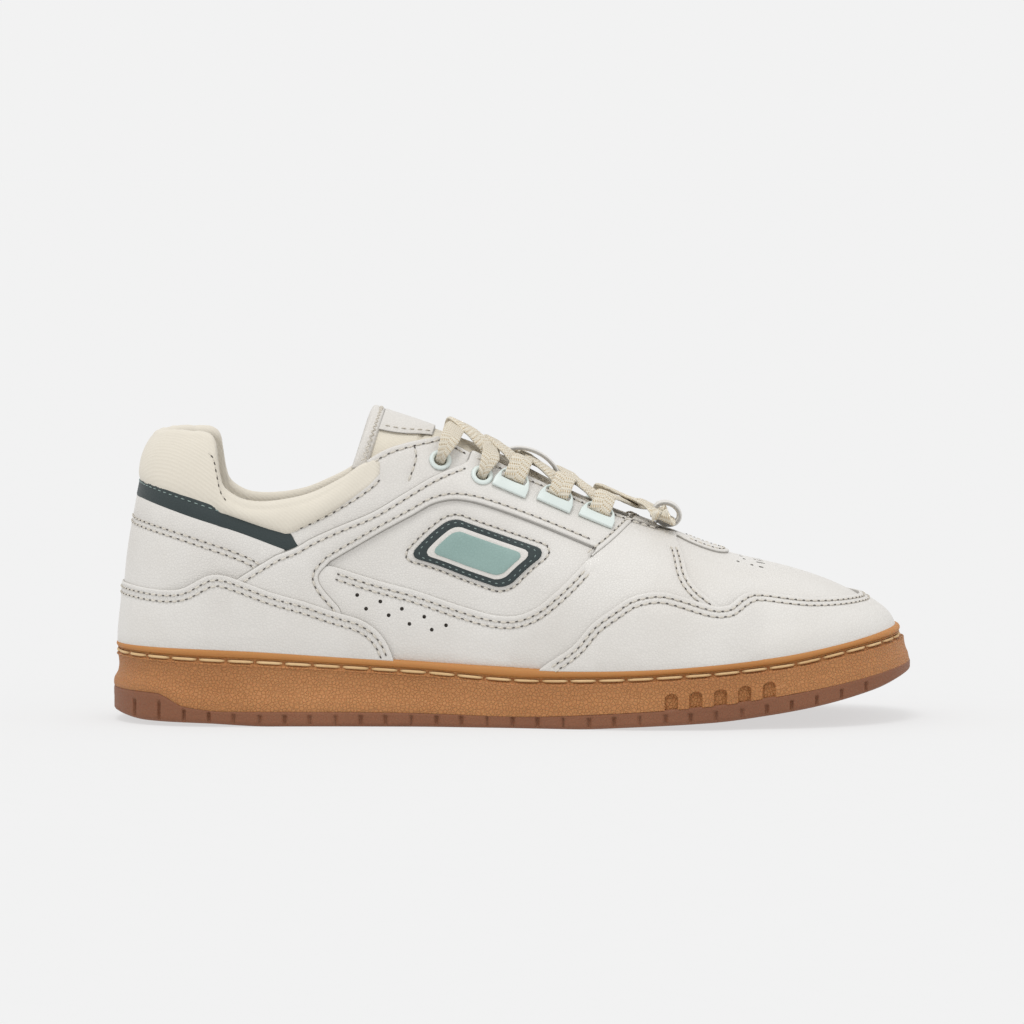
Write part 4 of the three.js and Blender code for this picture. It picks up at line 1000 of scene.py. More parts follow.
def sewn_panel(name, loop, level, thickness, nodes, seams, **options):
    """A leather panel that is stitched down along its seams."""
    panel(name, loop, level, thickness, SKIN, nodes, seams=seams, **options)
    for seam in seams:
        thread.on_upper(seam, level)


def make_heel_pieces():
    """Stripe, heel panel and foxing, each in one piece round the heel."""
    stripe_top, stripe_bottom = LINES["stripe_top"], LINES["stripe_bottom"]
    end = np.vstack([stripe_top[-1:], stripe_bottom[-1:]])
    loop = np.vstack([round_heel(stripe_bottom), end[:1], round_heel(stripe_top)[::-1][1:]])
    top_seam = seam_inset(round_heel(stripe_top), -1.7, 2, -2)
    panel("heel_stripe_wrap", loop, LAYER_1 + 0.15, 1.2, [GREEN, GREEN_EDGE], ["heel_stripe"],
          seams=[top_seam], dent=0.25)
    fine_thread.on_upper(top_seam, LAYER_1 + 0.1, length=1.5, gap=1.3, radius=0.2)

    rear = side_view(STRAP_REAR)
    under_rear = shift_inward(rear, -4.5, closed=False)
    low = ended_at_centre(bottom_line(-148.6, -126, LAYER_1, 12), 0)
    high = shift_inward(stripe_bottom, 0.6, closed=False)
    high = high[high[:, 0] < under_rear[-1, 0] + 0.02]
    loop = np.vstack([round_heel(low), under_rear, round_heel(high)[::-1], other_side(under_rear)])
    middle = smooth([(-143.9, 75.8), (-122.8, 70), (-99.7, 62.1), (-94, 58.9)], 2)
    middle = ended_at_centre(side_view(middle), 0)
    seams = [round_heel(shift_inward(middle, k, closed=False)) for k in (-1.0, 1.0)]
    sewn_panel("heel_panel_wrap", loop, heel_level, 1.3, ["heel_panel"], seams)

    foxing = LINES["foxing_top"]
    low = ended_at_centre(bottom_line(-148.9, -44.0, LAYER_3, 50), 0)
    loop = np.vstack([round_heel(low), round_heel(foxing)[::-1]])
    seams = [seam_inset(round_heel(foxing), -k, 1, -1) for k in (2.0, 4.1)]
    sewn_panel("heel_foxing_wrap", loop, foxing_level, 1.8, ["heel_foxing"], seams)


def make_toe_pieces():
    """Toe guard, vamp and throat tab, each in one piece over the toe."""
    guard = LINES["toe_guard_top"]
    low = ended_at_centre(bottom_line(9.6, 148, LAYER_3, 80), 3)
    loop = np.vstack([round_toe(low), round_toe(guard)[::-1]])
    seams = [seam_inset(round_toe(guard), -k, 2, -2) for k in (2.0, 4.1)]
    sewn_panel("toe_guard_wrap", loop, guard_level, 1.75, ["toe_guard"], seams)

    low = ended_at_centre(bottom_line(36, 147, LAYER_1, 60), 3)
    lateral_rise = throat_edge(36, 61, 0.0, 24)
    start_column = np.column_stack([np.full(8, low[0, 0]), np.linspace(low[0, 1], lateral_rise[0, 1], 8)])
    start_column, lateral_rise = start_column[::-1], lateral_rise[::-1]
    loop = np.vstack([round_toe(low), over_the_toe(start_column)[1:-1], over_the_toe(lateral_rise)[:-1],
                      lateral_rise[:-1], start_column[1:-1]])
    seats = plan_view([(start + 5.2 * i, reach + 0.3 * i)
                       for start, reach, number in VAMP_ROWS for i in range(number)])
    holes = [circle_hole(seat, 0.62, side, True) for seat in seats for side in (-1, 1)]
    # Painted shade: a dark disc at the bottom of each vamp hole
    for side, word in ((-1, "lateral"), (1, "medial")):
        paint_shade_in_holes(seats, side, f"vamp_{word}", 0.02, True)
    panel("vamp_skin", loop, LAYER_1, 1.3, SKIN, ["vamp"], chart=TOP_MAP, holes=holes, spacing=2.6)

    outline_tab = smooth([(61.6, 8.5), (64, 11), (70, 12.5), (76, 11.8), (79.5, 8.0), (81, 0.0)], 1.5)
    rounded = round_toe(plan_view(outline_tab))
    front = throat_edge(61.0, 56.5, 1.0, 6)
    loop = np.vstack([rounded, over_the_toe(front)[:-1], front])
    flat = to_plan(rounded)
    turn = loop_turn(to_plan(loop))
    seam = from_plan(flat_inset(resample(flat, 1.0), 1.7 * turn, closed=False)[3:-3])
    panel("throat_tab_skin", loop, LAYER_2, 1.2, SKIN, ["throat_tab"], chart=TOP_MAP, spacing=2.0)
    thread.on_upper(seam, LAYER_2)


def circle_hole(seat_tq, radius, side, from_above=False):
    """A round hole of that radius, cut square to the surface, or straight down."""
    tq = np.array(seat_tq) * (-side, 1)
    turn = np.linspace(0, 2 * math.pi, 17)[:-1]
    ring = radius * np.column_stack([np.cos(turn), np.sin(turn)])
    if from_above:
        return from_plan(to_plan(tq[None])[0] + ring)
    step = 1e-3
    here = upper_base(tq[0], tq[1])
    dt = (upper_base(tq[0] + step, tq[1]) - here) / step
    dq = (upper_base(tq[0], tq[1] + step) - here) / step
    metric = np.array([[dt @ dt, dt @ dq], [dt @ dq, dq @ dq]])
    root = np.linalg.inv(np.linalg.cholesky(metric)).T
    return tq + ring @ root.T


def paint_shade_in_holes(seats, side, word, level, from_above=False):
    """Dark discs at the bottoms of the punched holes: painted shade that stands in for the shade inside each
    hole.
    """
    points, faces = [], []
    for tq in seats:
        ring = circle_hole(tq, 0.85, side, from_above)
        low = upper(ring[:, 0], ring[:, 1], np.full(len(ring), level))
        high = upper(ring[:, 0], ring[:, 1], np.full(len(ring), level + 0.14))
        base, n = len(points), len(ring)
        points += list(low) + list(high)
        order = list(range(n)) if side < 0 else list(range(n))[::-1]
        faces.append(tuple(base + n + k for k in order))
        faces.append(tuple(base + k for k in order[::-1]))
        for i in range(n):
            a, b = order[i], order[(i + 1) % n]
            faces.append((base + a, base + b, base + n + b, base + n + a))
    new_object(f"painted_shade_floor_{word}", points, faces, HOLE_SHADE_PAINT)


def badge_loop(half_length, half_height, corner, offset):
    """(t, q) of a slanted, tilted rectangle with round corners about the badge's centre."""
    points = []
    for i, (sign_u, sign_v) in enumerate(((1, 1), (-1, 1), (-1, -1), (1, -1))):
        for j in range(7):
            angle = (i + j / 6) * math.pi / 2
            u = sign_u * (half_length - corner) + corner * math.cos(angle)
            v = sign_v * (half_height - corner) + corner * math.sin(angle)
            u += BADGE_SLANT * v
            points.append((BADGE_CENTRE[0] + u * math.cos(BADGE_TILT) - v * math.sin(BADGE_TILT),
                           BADGE_CENTRE[1] + u * math.sin(BADGE_TILT) + v * math.cos(BADGE_TILT)))
    return side_view(points, offset)


def make_side_panels():
    """Pieces cut once for each side of the shoe."""
    eyelet_seats = [plan_view([(x, float(THROAT(x)) + back)])[0] for x, back in EYELETS]

    notch = side_view([(-50.6, 95.0), (-53.0, 97.2), (-54.7, 98.2)])
    eyestay_edge = throat_edge(-28.6, -10, 0, 10)
    under_strap = side_view(np.vstack([[(-10, 95)], STRAP_MIDLINE[::-1], [(-79.5, 61.6)]]))
    eyestay = np.vstack([under_strap[::-1], eyestay_edge[::-1], side_view(EYESTAY_NOSE)[::-1], notch[::-1],
                         LINES["eyestay_top"][::-1], side_view([(-81.5, 70.0), (-80.4, 65)])])
    eyestay_seams = [seam_inset(LINES["eyestay_top"], -2.0, 1, -1),
                     seam_inset(np.vstack([side_view(EYESTAY_NOSE), throat_edge(-28.6, -18, 0, 6)]), -2.0, 1),
                     side_view(smooth([(-38.8, 90.5), (-37.3, 94.5), (-35.8, 99.5), (-36.4, 103.2)], 1.5))]

    strap_edge = throat_edge(-16, 53.6, 0, 40)
    strap_rear = side_view(STRAP_REAR, LAYER_2)
    strap_top = side_view(STRAP_TOP, LAYER_2)
    saddle_top = side_view(SADDLE_TOP, LAYER_2)
    window_top = side_view(WINDOW_TOP, LAYER_2)
    curl = side_view(STRAP_CURL, LAYER_2)
    low = bottom_line(-127, -66.5, LAYER_2, 30)
    strap_front = side_view([(52.6, 79.0), (50.5, 77.4)], LAYER_2)
    strap = np.vstack([low, curl, window_top[1:], saddle_top[1:], strap_front[::-1], strap_edge[::-1],
                       strap_top[::-1], strap_rear[::-1][1:]])
    strap_seams = [seam_inset(np.vstack([strap_rear, strap_top[1:]]), -2.0, 4, -1),
                   seam_inset(np.vstack([curl, window_top[1:]]), 2.0, 5, -2),
                   seam_inset(saddle_top, 2.0, 1),
                   seam_inset(throat_edge(-14, 52, 0, 40), -3.0)]

    saddle_front = side_view(SADDLE_FRONT, LAYER_2)
    window_low = side_view(WINDOW_BOTTOM, LAYER_2)
    low = bottom_line(-66.5, 88.5, LAYER_2, 60)
    front_edge = throat_edge(52.5, 60.4, 0, 8)
    saddle = np.vstack([low, saddle_front[::-1], front_edge[::-1], strap_front, saddle_top[::-1],
                        window_low[1:], curl[::-1][1:]])
    saddle_seams = [seam_inset(window_low, 2.2, 1, -1), seam_inset(window_low, 4.2, 1, -1),
                    seam_inset(saddle_front, -2.0, 1, -6), seam_inset(saddle_front, -4.0, 1, -6)]
    perforations = [(-57.7, 48.8), (-49.1, 46.4), (-41.1, 43.7), (-32.8, 40.8), (-24.7, 37.7),
                    (-54.4, 43.7), (-46, 41.3), (-38.3, 38.1), (-30, 36)]
    perforation_seats = side_view(perforations, LAYER_2)

    low = bottom_line(-120, 38, LAYER_1, 70)
    under_saddle = [(39, 45), (38, 60), (34, 68), (22, 73.5), (8, 79.5), (-10, 87.5), (-18, 90.0)]
    window = np.vstack([low, side_view(under_saddle), side_view(STRAP_MIDLINE[::-1][1:] - (0, 0.5)),
                        side_view([(-88, 58), (-99, 50), (-112, 40)])])

    badge = badge_loop(19, 9.5, 4, LAYER_1 + 0.9)
    badge_line = badge_loop(15.4, 7.1, 3.2, LAYER_1 + 1.2)
    badge_core = badge_loop(13.5, 5.5, 2.6, LAYER_1 + 1.5)
    badge_seam = badge_loop(17.6, 8.4, 3.6, LAYER_1 + 0.9)
    badge_round = badge_loop(21, 11.2, 5, LAYER_1)

    for side, word in ((-1, "lateral"), (1, "medial")):
        put = (lambda tq: tq) if side < 0 else other_side
        lace_holes = [circle_hole(seat, EYELET_RADIUS, side) for seat in eyelet_seats]
        sewn_panel(f"eyestay_skin_{word}", put(eyestay), LAYER_1, 1.3, [f"eyestay_{word}"],
                   [put(s) for s in eyestay_seams], holes=lace_holes[:1])
        panel(f"window_skin_{word}", put(window), LAYER_1, 1.3, SKIN, [f"window_panel_{word}"],
              seams=[put(np.vstack([badge_round, badge_round[:1]]))])
        sewn_panel(f"strap_skin_{word}", put(strap), STRAP_TOP_OFFSET, 2.0, [f"strap_{word}"],
                   [put(s) for s in strap_seams], holes=lace_holes[1:], skived=0.55)
        holes = [circle_hole(seat, 0.72, side) for seat in perforation_seats]
        # Painted shade: a dark disc at the bottom of each perforation
        paint_shade_in_holes(perforation_seats, side, f"saddle_{word}", LAYER_1 + 0.02)
        sewn_panel(f"saddle_skin_{word}", put(saddle), LAYER_2, 1.4, [f"saddle_{word}"],
                   [put(s) for s in saddle_seams], holes=holes)
        panel(f"badge_field_{word}", put(badge), LAYER_1 + 0.9, 1.0, [GREEN, GREEN_EDGE], [f"badge_{word}"],
              spacing=2.0, edge=0.3)
        panel(f"badge_line_{word}", put(badge_line), LAYER_1 + 1.15, 0.5, SKIN, [], spacing=2.0, edge=0.12)
        panel(f"badge_core_{word}", put(badge_core), LAYER_1 + 1.5, 0.6, [MINT, MINT],
              [f"badge_inlay_{word}"], spacing=2.0, edge=0.2)
        fine_thread.on_upper(put(badge_seam), LAYER_1 + 0.85, closed=True, length=1.5, gap=1.1, radius=0.17)
        thread.on_upper(put(badge_round), LAYER_1, closed=True, length=1.9)


make_heel_pieces()
make_toe_pieces()
make_side_panels()


# ---------------------------------------------------------------- sole unit

def lean(x, share):
    """How far the sole's wall is drawn in towards the toe, at a share of its height."""
    return TOE_LEAN * toe_blend(x) * share


def swept(name, sections, finish, nodes, t):
    """Closed ring swept round the sole; sections gives (inset, height) arrays for each place x."""
    s, side = split(t)
    flat_x, _ = outline(s, 0)
    rows = []
    for inset, height in sections(flat_x):
        x, reach = outline(s, inset)
        rows.append(np.column_stack([x, CENTRE_Y(x) + side * reach, height]))
    faces = [(b, a, d, c) for a, b, c, d in grid_faces(len(rows), len(t), wrap_rows=True, wrap_columns=True)]
    return new_object(name, np.vstack(rows), faces, finish, parts=nodes)


WINDOWS = (58.6, 67.6, 76.7, 85.7, 94.9)
# How far the cup's wall is drawn in, from its bottom edge (0) up to the stitch groove (1)
WALL = through((-0.02, 0.5), (0.0, 0.15), (0.08, 0.0), (0.2, 0.15), (0.3, 0.7), (0.41, 1.22), (0.59, 1.5),
               (0.77, 1.36), (0.92, 1.0))


def cup_sections(x):
    """From the outer bottom edge up the wall, over the bead, down inside and across the floor."""
    shares = np.concatenate([[-0.02, 0.0], np.arange(0.02, 0.6, 0.024), np.arange(0.6, 0.92, 0.05)])
    band = smoothstep(-x, 0, 40)
    flat = smoothstep(x, -30, 20)
    sections = []
    for share in shares:
        inset = float(WALL(share))
        z = OUTSOLE_TOP_Z(x) + 0.05 + (STITCH_Z(x) - OUTSOLE_TOP_Z(x)) * share
        waist = inset * (band * 1.35 + (1 - band) * 0.55) - 0.35 * flat
        waist = np.maximum(waist, 0)
        rise = z - OUTSOLE_TOP_Z(x)
        for centre in WINDOWS:
            across = np.abs(x - centre)
            arch = 3.6 + 2.2 * np.sqrt(np.clip(1 - (across / 2.5) ** 2, 0, 1))
            waist = waist + 1.7 * smoothstep(2.5 - across, 0.0, 0.3) * smoothstep(arch - rise, 0.0, 0.35)
        sections.append((waist + lean(x, 0.1 + 0.65 * share), z))
    groove = [(-1.55, 1.1), (-1.3, 1.25), (-1.05, 1.75), (-0.75, 2.2), (-0.3, 2.4), (0.3, 2.4), (0.75, 2.15),
              (1.0, 1.6)]
    for rise, inset in groove:
        sections.append((inset + lean(x, 0.8), STITCH_Z(x) + rise))
    bead_low = STITCH_Z(x) + 1.15
    half = (BEAD_Z(x) - bead_low) / 2
    for turn in np.radians(np.linspace(-80, 90, 10)):
        inset = 1.05 + 1.55 * (1 - math.cos(turn))
        sections.append((inset + lean(x, 0.9), bead_low + half * (1 + math.sin(turn))))
    lip = UPPER_INSET - 0.3 + lean(x, 1)
    sections.append(((lip + 1.0 + 2.5) / 2, BEAD_Z(x) - 0.05))
    sections.append((lip, BEAD_Z(x) - 0.6))
    sections.append((lip, BEAD_Z(x) - FEATHER_DROP - 1))
    wall = np.maximum(4.0, lip)
    sections.append((wall, OUTSOLE_TOP_Z(x) + 4.2))
    sections.append((wall + 12, OUTSOLE_TOP_Z(x) + 4.0))
    sections.append((wall + 12, OUTSOLE_TOP_Z(x) + 0.4))
    sections.append((np.full(len(x), 2.0), OUTSOLE_TOP_Z(x) + 0.05))
    return sections


# The row of the cup's faces where the bead starts
BEAD_ROW = 41
SIPE_START, SIPE_END, SIPE_PITCH = -141, 139, 9.4
BAR_PITCH = 6.2
RING_PITCH = 5.5
PIVOT = (66, -4)
PIVOT_RADIUS = 22


def sipe_depth(x, z):
    """Short upright cuts in the tread's edge; the first few at the heel are tall."""
    phase = (x - SIPE_START + SIPE_PITCH / 2) % SIPE_PITCH - SIPE_PITCH / 2
    index = np.round((x - SIPE_START - phase) / SIPE_PITCH)
    top = np.where(index < 1.5, 9.0, np.where(index < 2.5, 6.2, TREAD_Z(x) + 4.2))
    low = np.where(index < 1.5, TREAD_Z(x) + 1.0, TREAD_Z(x) + 0.9)
    inside_cut = smoothstep(0.75 - np.abs(phase), 0.0, 0.3) * (x - phase < SIPE_END)
    return 1.2 * inside_cut * smoothstep(z, low - 0.3, low + 0.3) * smoothstep(top - z, -0.3, 0.3)


def tread_sections(x):
    """Up the outsole's side wall, in over its top and back under it."""
    sections = []
    rows = 15
    low, high = TREAD_Z(x), OUTSOLE_TOP_Z(x)
    for k in range(rows):
        share = k / (rows - 1)
        z = low + (high - low) * share
        rounding = 1.5 * (1 - np.clip((z - low) / 1.4, 0, 1)) ** 2
        lip = 0.3 * smoothstep(np.full(len(x), share), 0.9, 1.0)
        sections.append((0.05 + rounding + lip + sipe_depth(x, z), z))
    sections.append((np.full(len(x), 2.4), high + 0.02))
    sections.append((np.full(len(x), 10.0), high))
    sections.append((np.full(len(x), 10.0), low + 1.6))
    sections.append((np.full(len(x), 3.6), low + 1.6))
    sections.append((np.full(len(x), 3.4), low))
    return sections


def tread_pattern():
    """Underside of the outsole: herringbone bars with a pivot disc under the ball of the foot."""
    columns = 101
    share = np.linspace(-1, 1, columns)
    table_s = np.linspace(0, 3, 1500)
    table_x, table_reach = outline(table_s, 3.0)
    xs = np.linspace(table_x.min() + 0.3, table_x.max() - 0.3, 296)
    reach = np.interp(xs, table_x, table_reach)
    x = xs[:, None] + 0 * share[None]
    y = CENTRE_Y(x) + share[None] * reach[:, None]
    across = y - CENTRE_Y(x)
    zig = np.abs((across + 60) % 16 - 8)
    phase = (x + zig * 0.9) % BAR_PITCH
    bars = smoothstep(np.abs(phase - BAR_PITCH / 2), 0.75, 1.25)
    from_pivot = np.hypot(x - PIVOT[0], across - PIVOT[1])
    rings = smoothstep(np.abs((from_pivot % RING_PITCH) - RING_PITCH / 2), 0.7, 1.2)
    pattern = np.where(from_pivot < PIVOT_RADIUS, rings, bars)
    pattern = np.where(np.abs(from_pivot - PIVOT_RADIUS - 0.5) < 1.2, 0.0, pattern)
    # The waist, under the arch of the foot, is plain
    waist = smoothstep(-x, 18, 30) * smoothstep(x, -72, -60)
    pattern = pattern * (1 - waist) + waist
    rim = smoothstep(1 - np.abs(share), 0.0, 0.05)[None]
    pattern = pattern * rim + (1 - rim)
    z = TREAD_Z(x) + 1.35 * (1 - pattern) + 0.05
    lower = np.stack([x, y, z], -1).reshape(-1, 3)
    above = np.stack([x, y, TREAD_Z(x) + 2.6], -1).reshape(-1, 3)
    n = len(lower)
    faces = [f[::-1] for f in grid_faces(len(xs), columns)]
    flipped = [tuple(k + n for k in f[::-1]) for f in faces]
    rows = len(xs)
    border = [(i, 0) for i in range(rows)] + [(rows - 1, j) for j in range(1, columns)]
    border += [(i, columns - 1) for i in range(rows - 2, -1, -1)]
    border += [(0, j) for j in range(columns - 2, 0, -1)]
    ids = [i * columns + j for i, j in border]
    sides = [(a, b, b + n, a + n) for a, b in zip(ids, ids[1:] + ids[:1])]
    return lower, above, faces, flipped, sides


SOLE_STITCH = 10.6


def make_sole():
    """Cup, tread and the thread round the cup."""
    # Finer columns where the arches are, on both sides
    near = 1 + (np.arange(54, 99.5, 0.16) - HEEL_X) / (TOE_X - HEEL_X)
    near = np.where(near > 2, 2 + (near - 2) * 2.2, near)
    t = np.unique(np.concatenate([np.linspace(0, 6, 1300, endpoint=False), near, 6 - near]).round(5))
    cup = swept("cup", cup_sections, [GUM, GUM_SMOOTH], ["cupsole"], t)
    for i, polygon in enumerate(cup.data.polygons):
        polygon.material_index = int(i // len(t) >= BEAD_ROW)
    swept("tread_edge", tread_sections, TREAD, ["outsole"], np.linspace(0, 6, 1700, endpoint=False))
    lower, above, faces, flipped, sides = tread_pattern()
    new_object("tread_face", np.vstack([lower, above]), faces + flipped + sides, TREAD)

    t = np.linspace(0, 6, 1400, endpoint=False)
    x, _ = outline(split(t)[0], 0)
    line = sole(t, 1.75 + lean(x, 0.8), STITCH_Z(x))
    inner = sole(t, 5.0 + lean(x, 0.8), STITCH_Z(x))
    out = line - inner
    out /= np.linalg.norm(out, axis=1, keepdims=True)
    cup_thread = Thread()
    data = np.vstack([line, line[:1]])
    run = run_length(data)
    number = int(run[-1] // SOLE_STITCH)
    pitch = run[-1] / number
    normals = np.vstack([out, out[:1]])
    for i in range(number):
        at = np.linspace(i * pitch + 0.55, (i + 1) * pitch - 0.55, 9)
        add_cord(cup_thread, rows_at(at, run, data), rows_at(at, run, normals), 0.55)
    cup_thread.add("sole_thread", THREAD_TAN, nodes=["sole_stitching"])


def add_cord(store, path, normal, radius, sides=8):
    """Soft thread along a path whose two ends dive in against its normals."""
    count = len(path)
    base = len(store.points)
    for i in range(count):
        along = path[min(i + 1, count - 1)] - path[max(i - 1, 0)]
        along /= np.linalg.norm(along)
        bow = min(1.0, math.sin(math.pi * (i + 0.25) / (count - 0.5)) * 1.9)
        middle = path[i] - normal[i] * (1 - bow) * 0.9
        side = np.cross(normal[i], along)
        for j in range(sides):
            angle = 2 * math.pi * j / sides
            width = radius * (0.7 + 0.3 * bow)
            store.points.append(middle + (side * math.cos(angle) + normal[i] * math.sin(angle)) * width)
    store.faces += tube_faces(count, sides, base)


make_sole()


# ---------------------------------------------------------------- lining, collar and sockliner

def make_lining():
    """Textile lining of the whole upper, with the ankle opening and the lace gap cut out."""
    turn = np.linspace(0, 6, 400, endpoint=False)
    border = np.column_stack([turn, np.full(len(turn), 0.045)])
    stripe_top, eyestay_top = LINES["stripe_top"], LINES["eyestay_top"]
    nose = side_view(EYESTAY_NOSE)
    gap = throat_edge(-28.6, 61, 0.6, 60)
    half = np.vstack([stripe_top, eyestay_top, nose, gap])
    half = resample_tq(half, 2.0, False)
    opening = np.vstack([half, over_the_toe(half)[1:-1]])
    panel("lining_shell", border, -0.15, 2.3, LINING_CLOTH,
          ["heel_lining", "vamp_lining", "quarter_lining_lateral", "quarter_lining_medial"],
          chart=TOP_MAP, holes=[opening], spacing=3.6)


def up_step(t, q):
    """Direction up the surface, and the millimetres that a unit of q makes."""
    q = np.clip(q, 0, 0.99)
    change = (upper_base(t, q + 5e-3) - upper_base(t, q)) / 5e-3
    size = np.linalg.norm(change, axis=-1, keepdims=True)
    return change / size, size[..., 0]


def make_collar():
    """Padded ankle collar: a soft tube that rolls over the top line and down inside."""
    low = np.vstack([LINES["stripe_top"], LINES["eyestay_top"][1:]])
    top = LINES["collar"]
    order = np.argsort(top[:, 0])
    top = top[order]
    t_end = low[-1, 0] + 0.006
    half = resample_tq(top[top[:, 0] <= t_end], 1.25, False)[:, 0]
    half = np.append(half, t_end)
    t = np.concatenate([-half[::-1][:-1], half])
    here = np.abs(t)
    q_low = np.interp(here, low[:, 0], low[:, 1])
    q_top = np.interp(here, top[:, 0], top[:, 1])
    taper = smoothstep(t_end - here, 0.0, 0.12)
    roll = 1.4 + 1.9 * taper
    _, size = up_step(t, q_top)
    q_roll = q_top - roll / size
    q_roll = np.maximum(q_roll, q_low + 0.01)
    depth = (14 + 26 * smoothstep(t_end - here, 0.05, 0.5)) / size
    q_deep = np.maximum(q_roll - depth, 0.2)
    rows = []
    for v in np.linspace(0, 1, 16):
        q = q_low - 0.02 + (q_roll - q_low + 0.02) * v
        offset = 0.6 + 1.0 * min(v * 6, 1) + 1.5 * taper * math.sin(math.pi * v) ** 0.8
        rows.append(upper(t, q, offset + 0 * t))
    direction, _ = up_step(t, q_roll)
    normal = upper_normal(t, q_roll)
    base = upper_base(t, q_roll)
    for angle in np.linspace(0, math.pi, 13)[1:-1]:
        out = -1.7 + (1.5 + 1.8) * math.cos(angle)
        rows.append(base + normal * (out + 0 * t)[:, None] + direction * (roll * math.sin(angle))[:, None])
    for v in np.linspace(0, 1, 18):
        q = q_roll + (q_deep - q_roll) * v
        offset = -5.0 - 1.9 * taper * math.sin(math.pi * min(v * 1.1, 1)) + 2.4 * max(0, v - 0.75) / 0.25
        rows.append(upper(t, q, offset + 0 * t))
    rows = np.array(rows)
    wave = np.sin(t * 31 + 1.3)[None, :] * 0.12 + np.sin(t * 57)[None, :] * 0.07
    rows[:, :, 2] += wave * taper[None, :]
    count, columns = rows.shape[:2]
    faces = [f[::-1] for f in grid_faces(count, columns, wrap_rows=True)]
    for end in (0, columns - 1):
        ids = [i * columns + end for i in range(count)]
        faces += strip_cap(ids, end > 0)
    collar = new_object("collar_pad", rows.reshape(-1, 3), faces, COLLAR_CLOTH, parts=["collar_padding"])
    # Sewn down the front of the heel tab on each side, just under the roll
    on_front = (rows[12, :, 0] > -114.5) & (rows[12, :, 0] < -106.5)
    for side in (-1, 1):
        part = on_front & (np.sign(-t) == side)
        thread.row(rows[12, part], upper_normal(t[part], q_roll[part]), length=1.3, gap=1.2, radius=0.22)


def sock_height(x):
    """Level that the footbed lies on."""
    board_drop, board_thickness, gap = 0.8, 1.5, 0.35
    return BEAD_Z(x) - FEATHER_DROP - board_drop + board_thickness + gap


def make_sockliner():
    """Moulded footbed with a raised rim and a cupped heel."""
    t = np.linspace(0, 6, 360, endpoint=False)
    s, side = split(t)
    rough, _ = outline(s, 0)
    inset = UPPER_INSET + TOE_LEAN * toe_blend(rough) + 2.6 + 1
    rows = []
    profile = [(share, 0) for share in (0.0, 0.15, 0.3, 0.45, 0.6, 0.7, 0.8, 0.87, 0.93, 0.97)]
    profile += [(0.99, 0.4), (1.0, 1.4), (1.0, 4.3), (0.6, 4.3), (0.0, 4.3)]
    for share, below in profile:
        x, reach = outline(s, inset + 0.5)
        spine = np.clip(x, HEEL_X, TOE_X)
        x = spine + (x - spine) * share
        bowl = 2.2 * share ** 3 * (0.5 + 0.5 * smoothstep(-x, -60, 40))
        rim = bowl if below == 0 else 2.2 * (below < 4)
        rows.append(np.column_stack([x, CENTRE_Y(x) + side * reach * share,
                                     sock_height(x) + 4.4 + rim - below]))
    points = np.vstack(rows)
    faces = grid_faces(len(rows), 360, wrap_columns=True)
    new_object("footbed", points, faces, LINING_CLOTH, parts=["sockliner"])


# ---------------------------------------------------------------- tongue

TONGUE_LINE = smooth([(64, 62.5), (54, 68), (36, 77.5), (18, 87.5), (0, 97), (-12, 102.5), (-24, 107),
                      (-34, 110.7), (-44, 114), (-53, 117)], 0.5)
TONGUE_WIDTH = through((0, 14), (0.2, 18), (0.6, 20.5), (1, 19.8))
TONGUE_DROP = through((0, 6), (0.3, 14), (0.7, 19), (1, 23))
TONGUE_THICKNESS = through((0, 2.5), (0.15, 4), (0.6, 6), (0.85, 8.5), (1, 7))
TONGUE_BEND = 0.735
TONGUE_RUN = run_length(TONGUE_LINE)
TONGUE_LENGTH = TONGUE_RUN[-1]
TONGUE_SHARE = TONGUE_RUN / TONGUE_LENGTH
TONGUE_TANGENT = np.gradient(TONGUE_LINE, axis=0)
TONGUE_TANGENT /= np.linalg.norm(TONGUE_TANGENT, axis=1, keepdims=True)


def tongue(share, across, offset):
    """Point of the tongue: share of its length, across from -1 (lateral) to 1, and offset outward."""
    share, across, offset = np.broadcast_arrays(*(np.asarray(v, float) for v in (share, across, offset)))
    x = np.interp(share, TONGUE_SHARE, TONGUE_LINE[:, 0])
    z = np.interp(share, TONGUE_SHARE, TONGUE_LINE[:, 1])
    tx = np.interp(share, TONGUE_SHARE, TONGUE_TANGENT[:, 0])
    tz = np.interp(share, TONGUE_SHARE, TONGUE_TANGENT[:, 1])
    level = offset - TONGUE_DROP(share) * across ** 2
    return np.stack([x + tz * level, CENTRE_Y(x) + across * TONGUE_WIDTH(share), z - tx * level], -1)


def tongue_normal(share, across):
    """Unit normal of the tongue that points up."""
    share = np.minimum(share, 0.99)
    a = tongue(share + 0.004, across, 0) - tongue(share - 0.004, across, 0)
    b = tongue(share, across + 0.01, 0) - tongue(share, across - 0.01, 0)
    normal = np.cross(b, a)
    normal /= np.linalg.norm(normal, axis=-1, keepdims=True)
    return np.where(normal[..., 2:] < 0, -normal, normal)


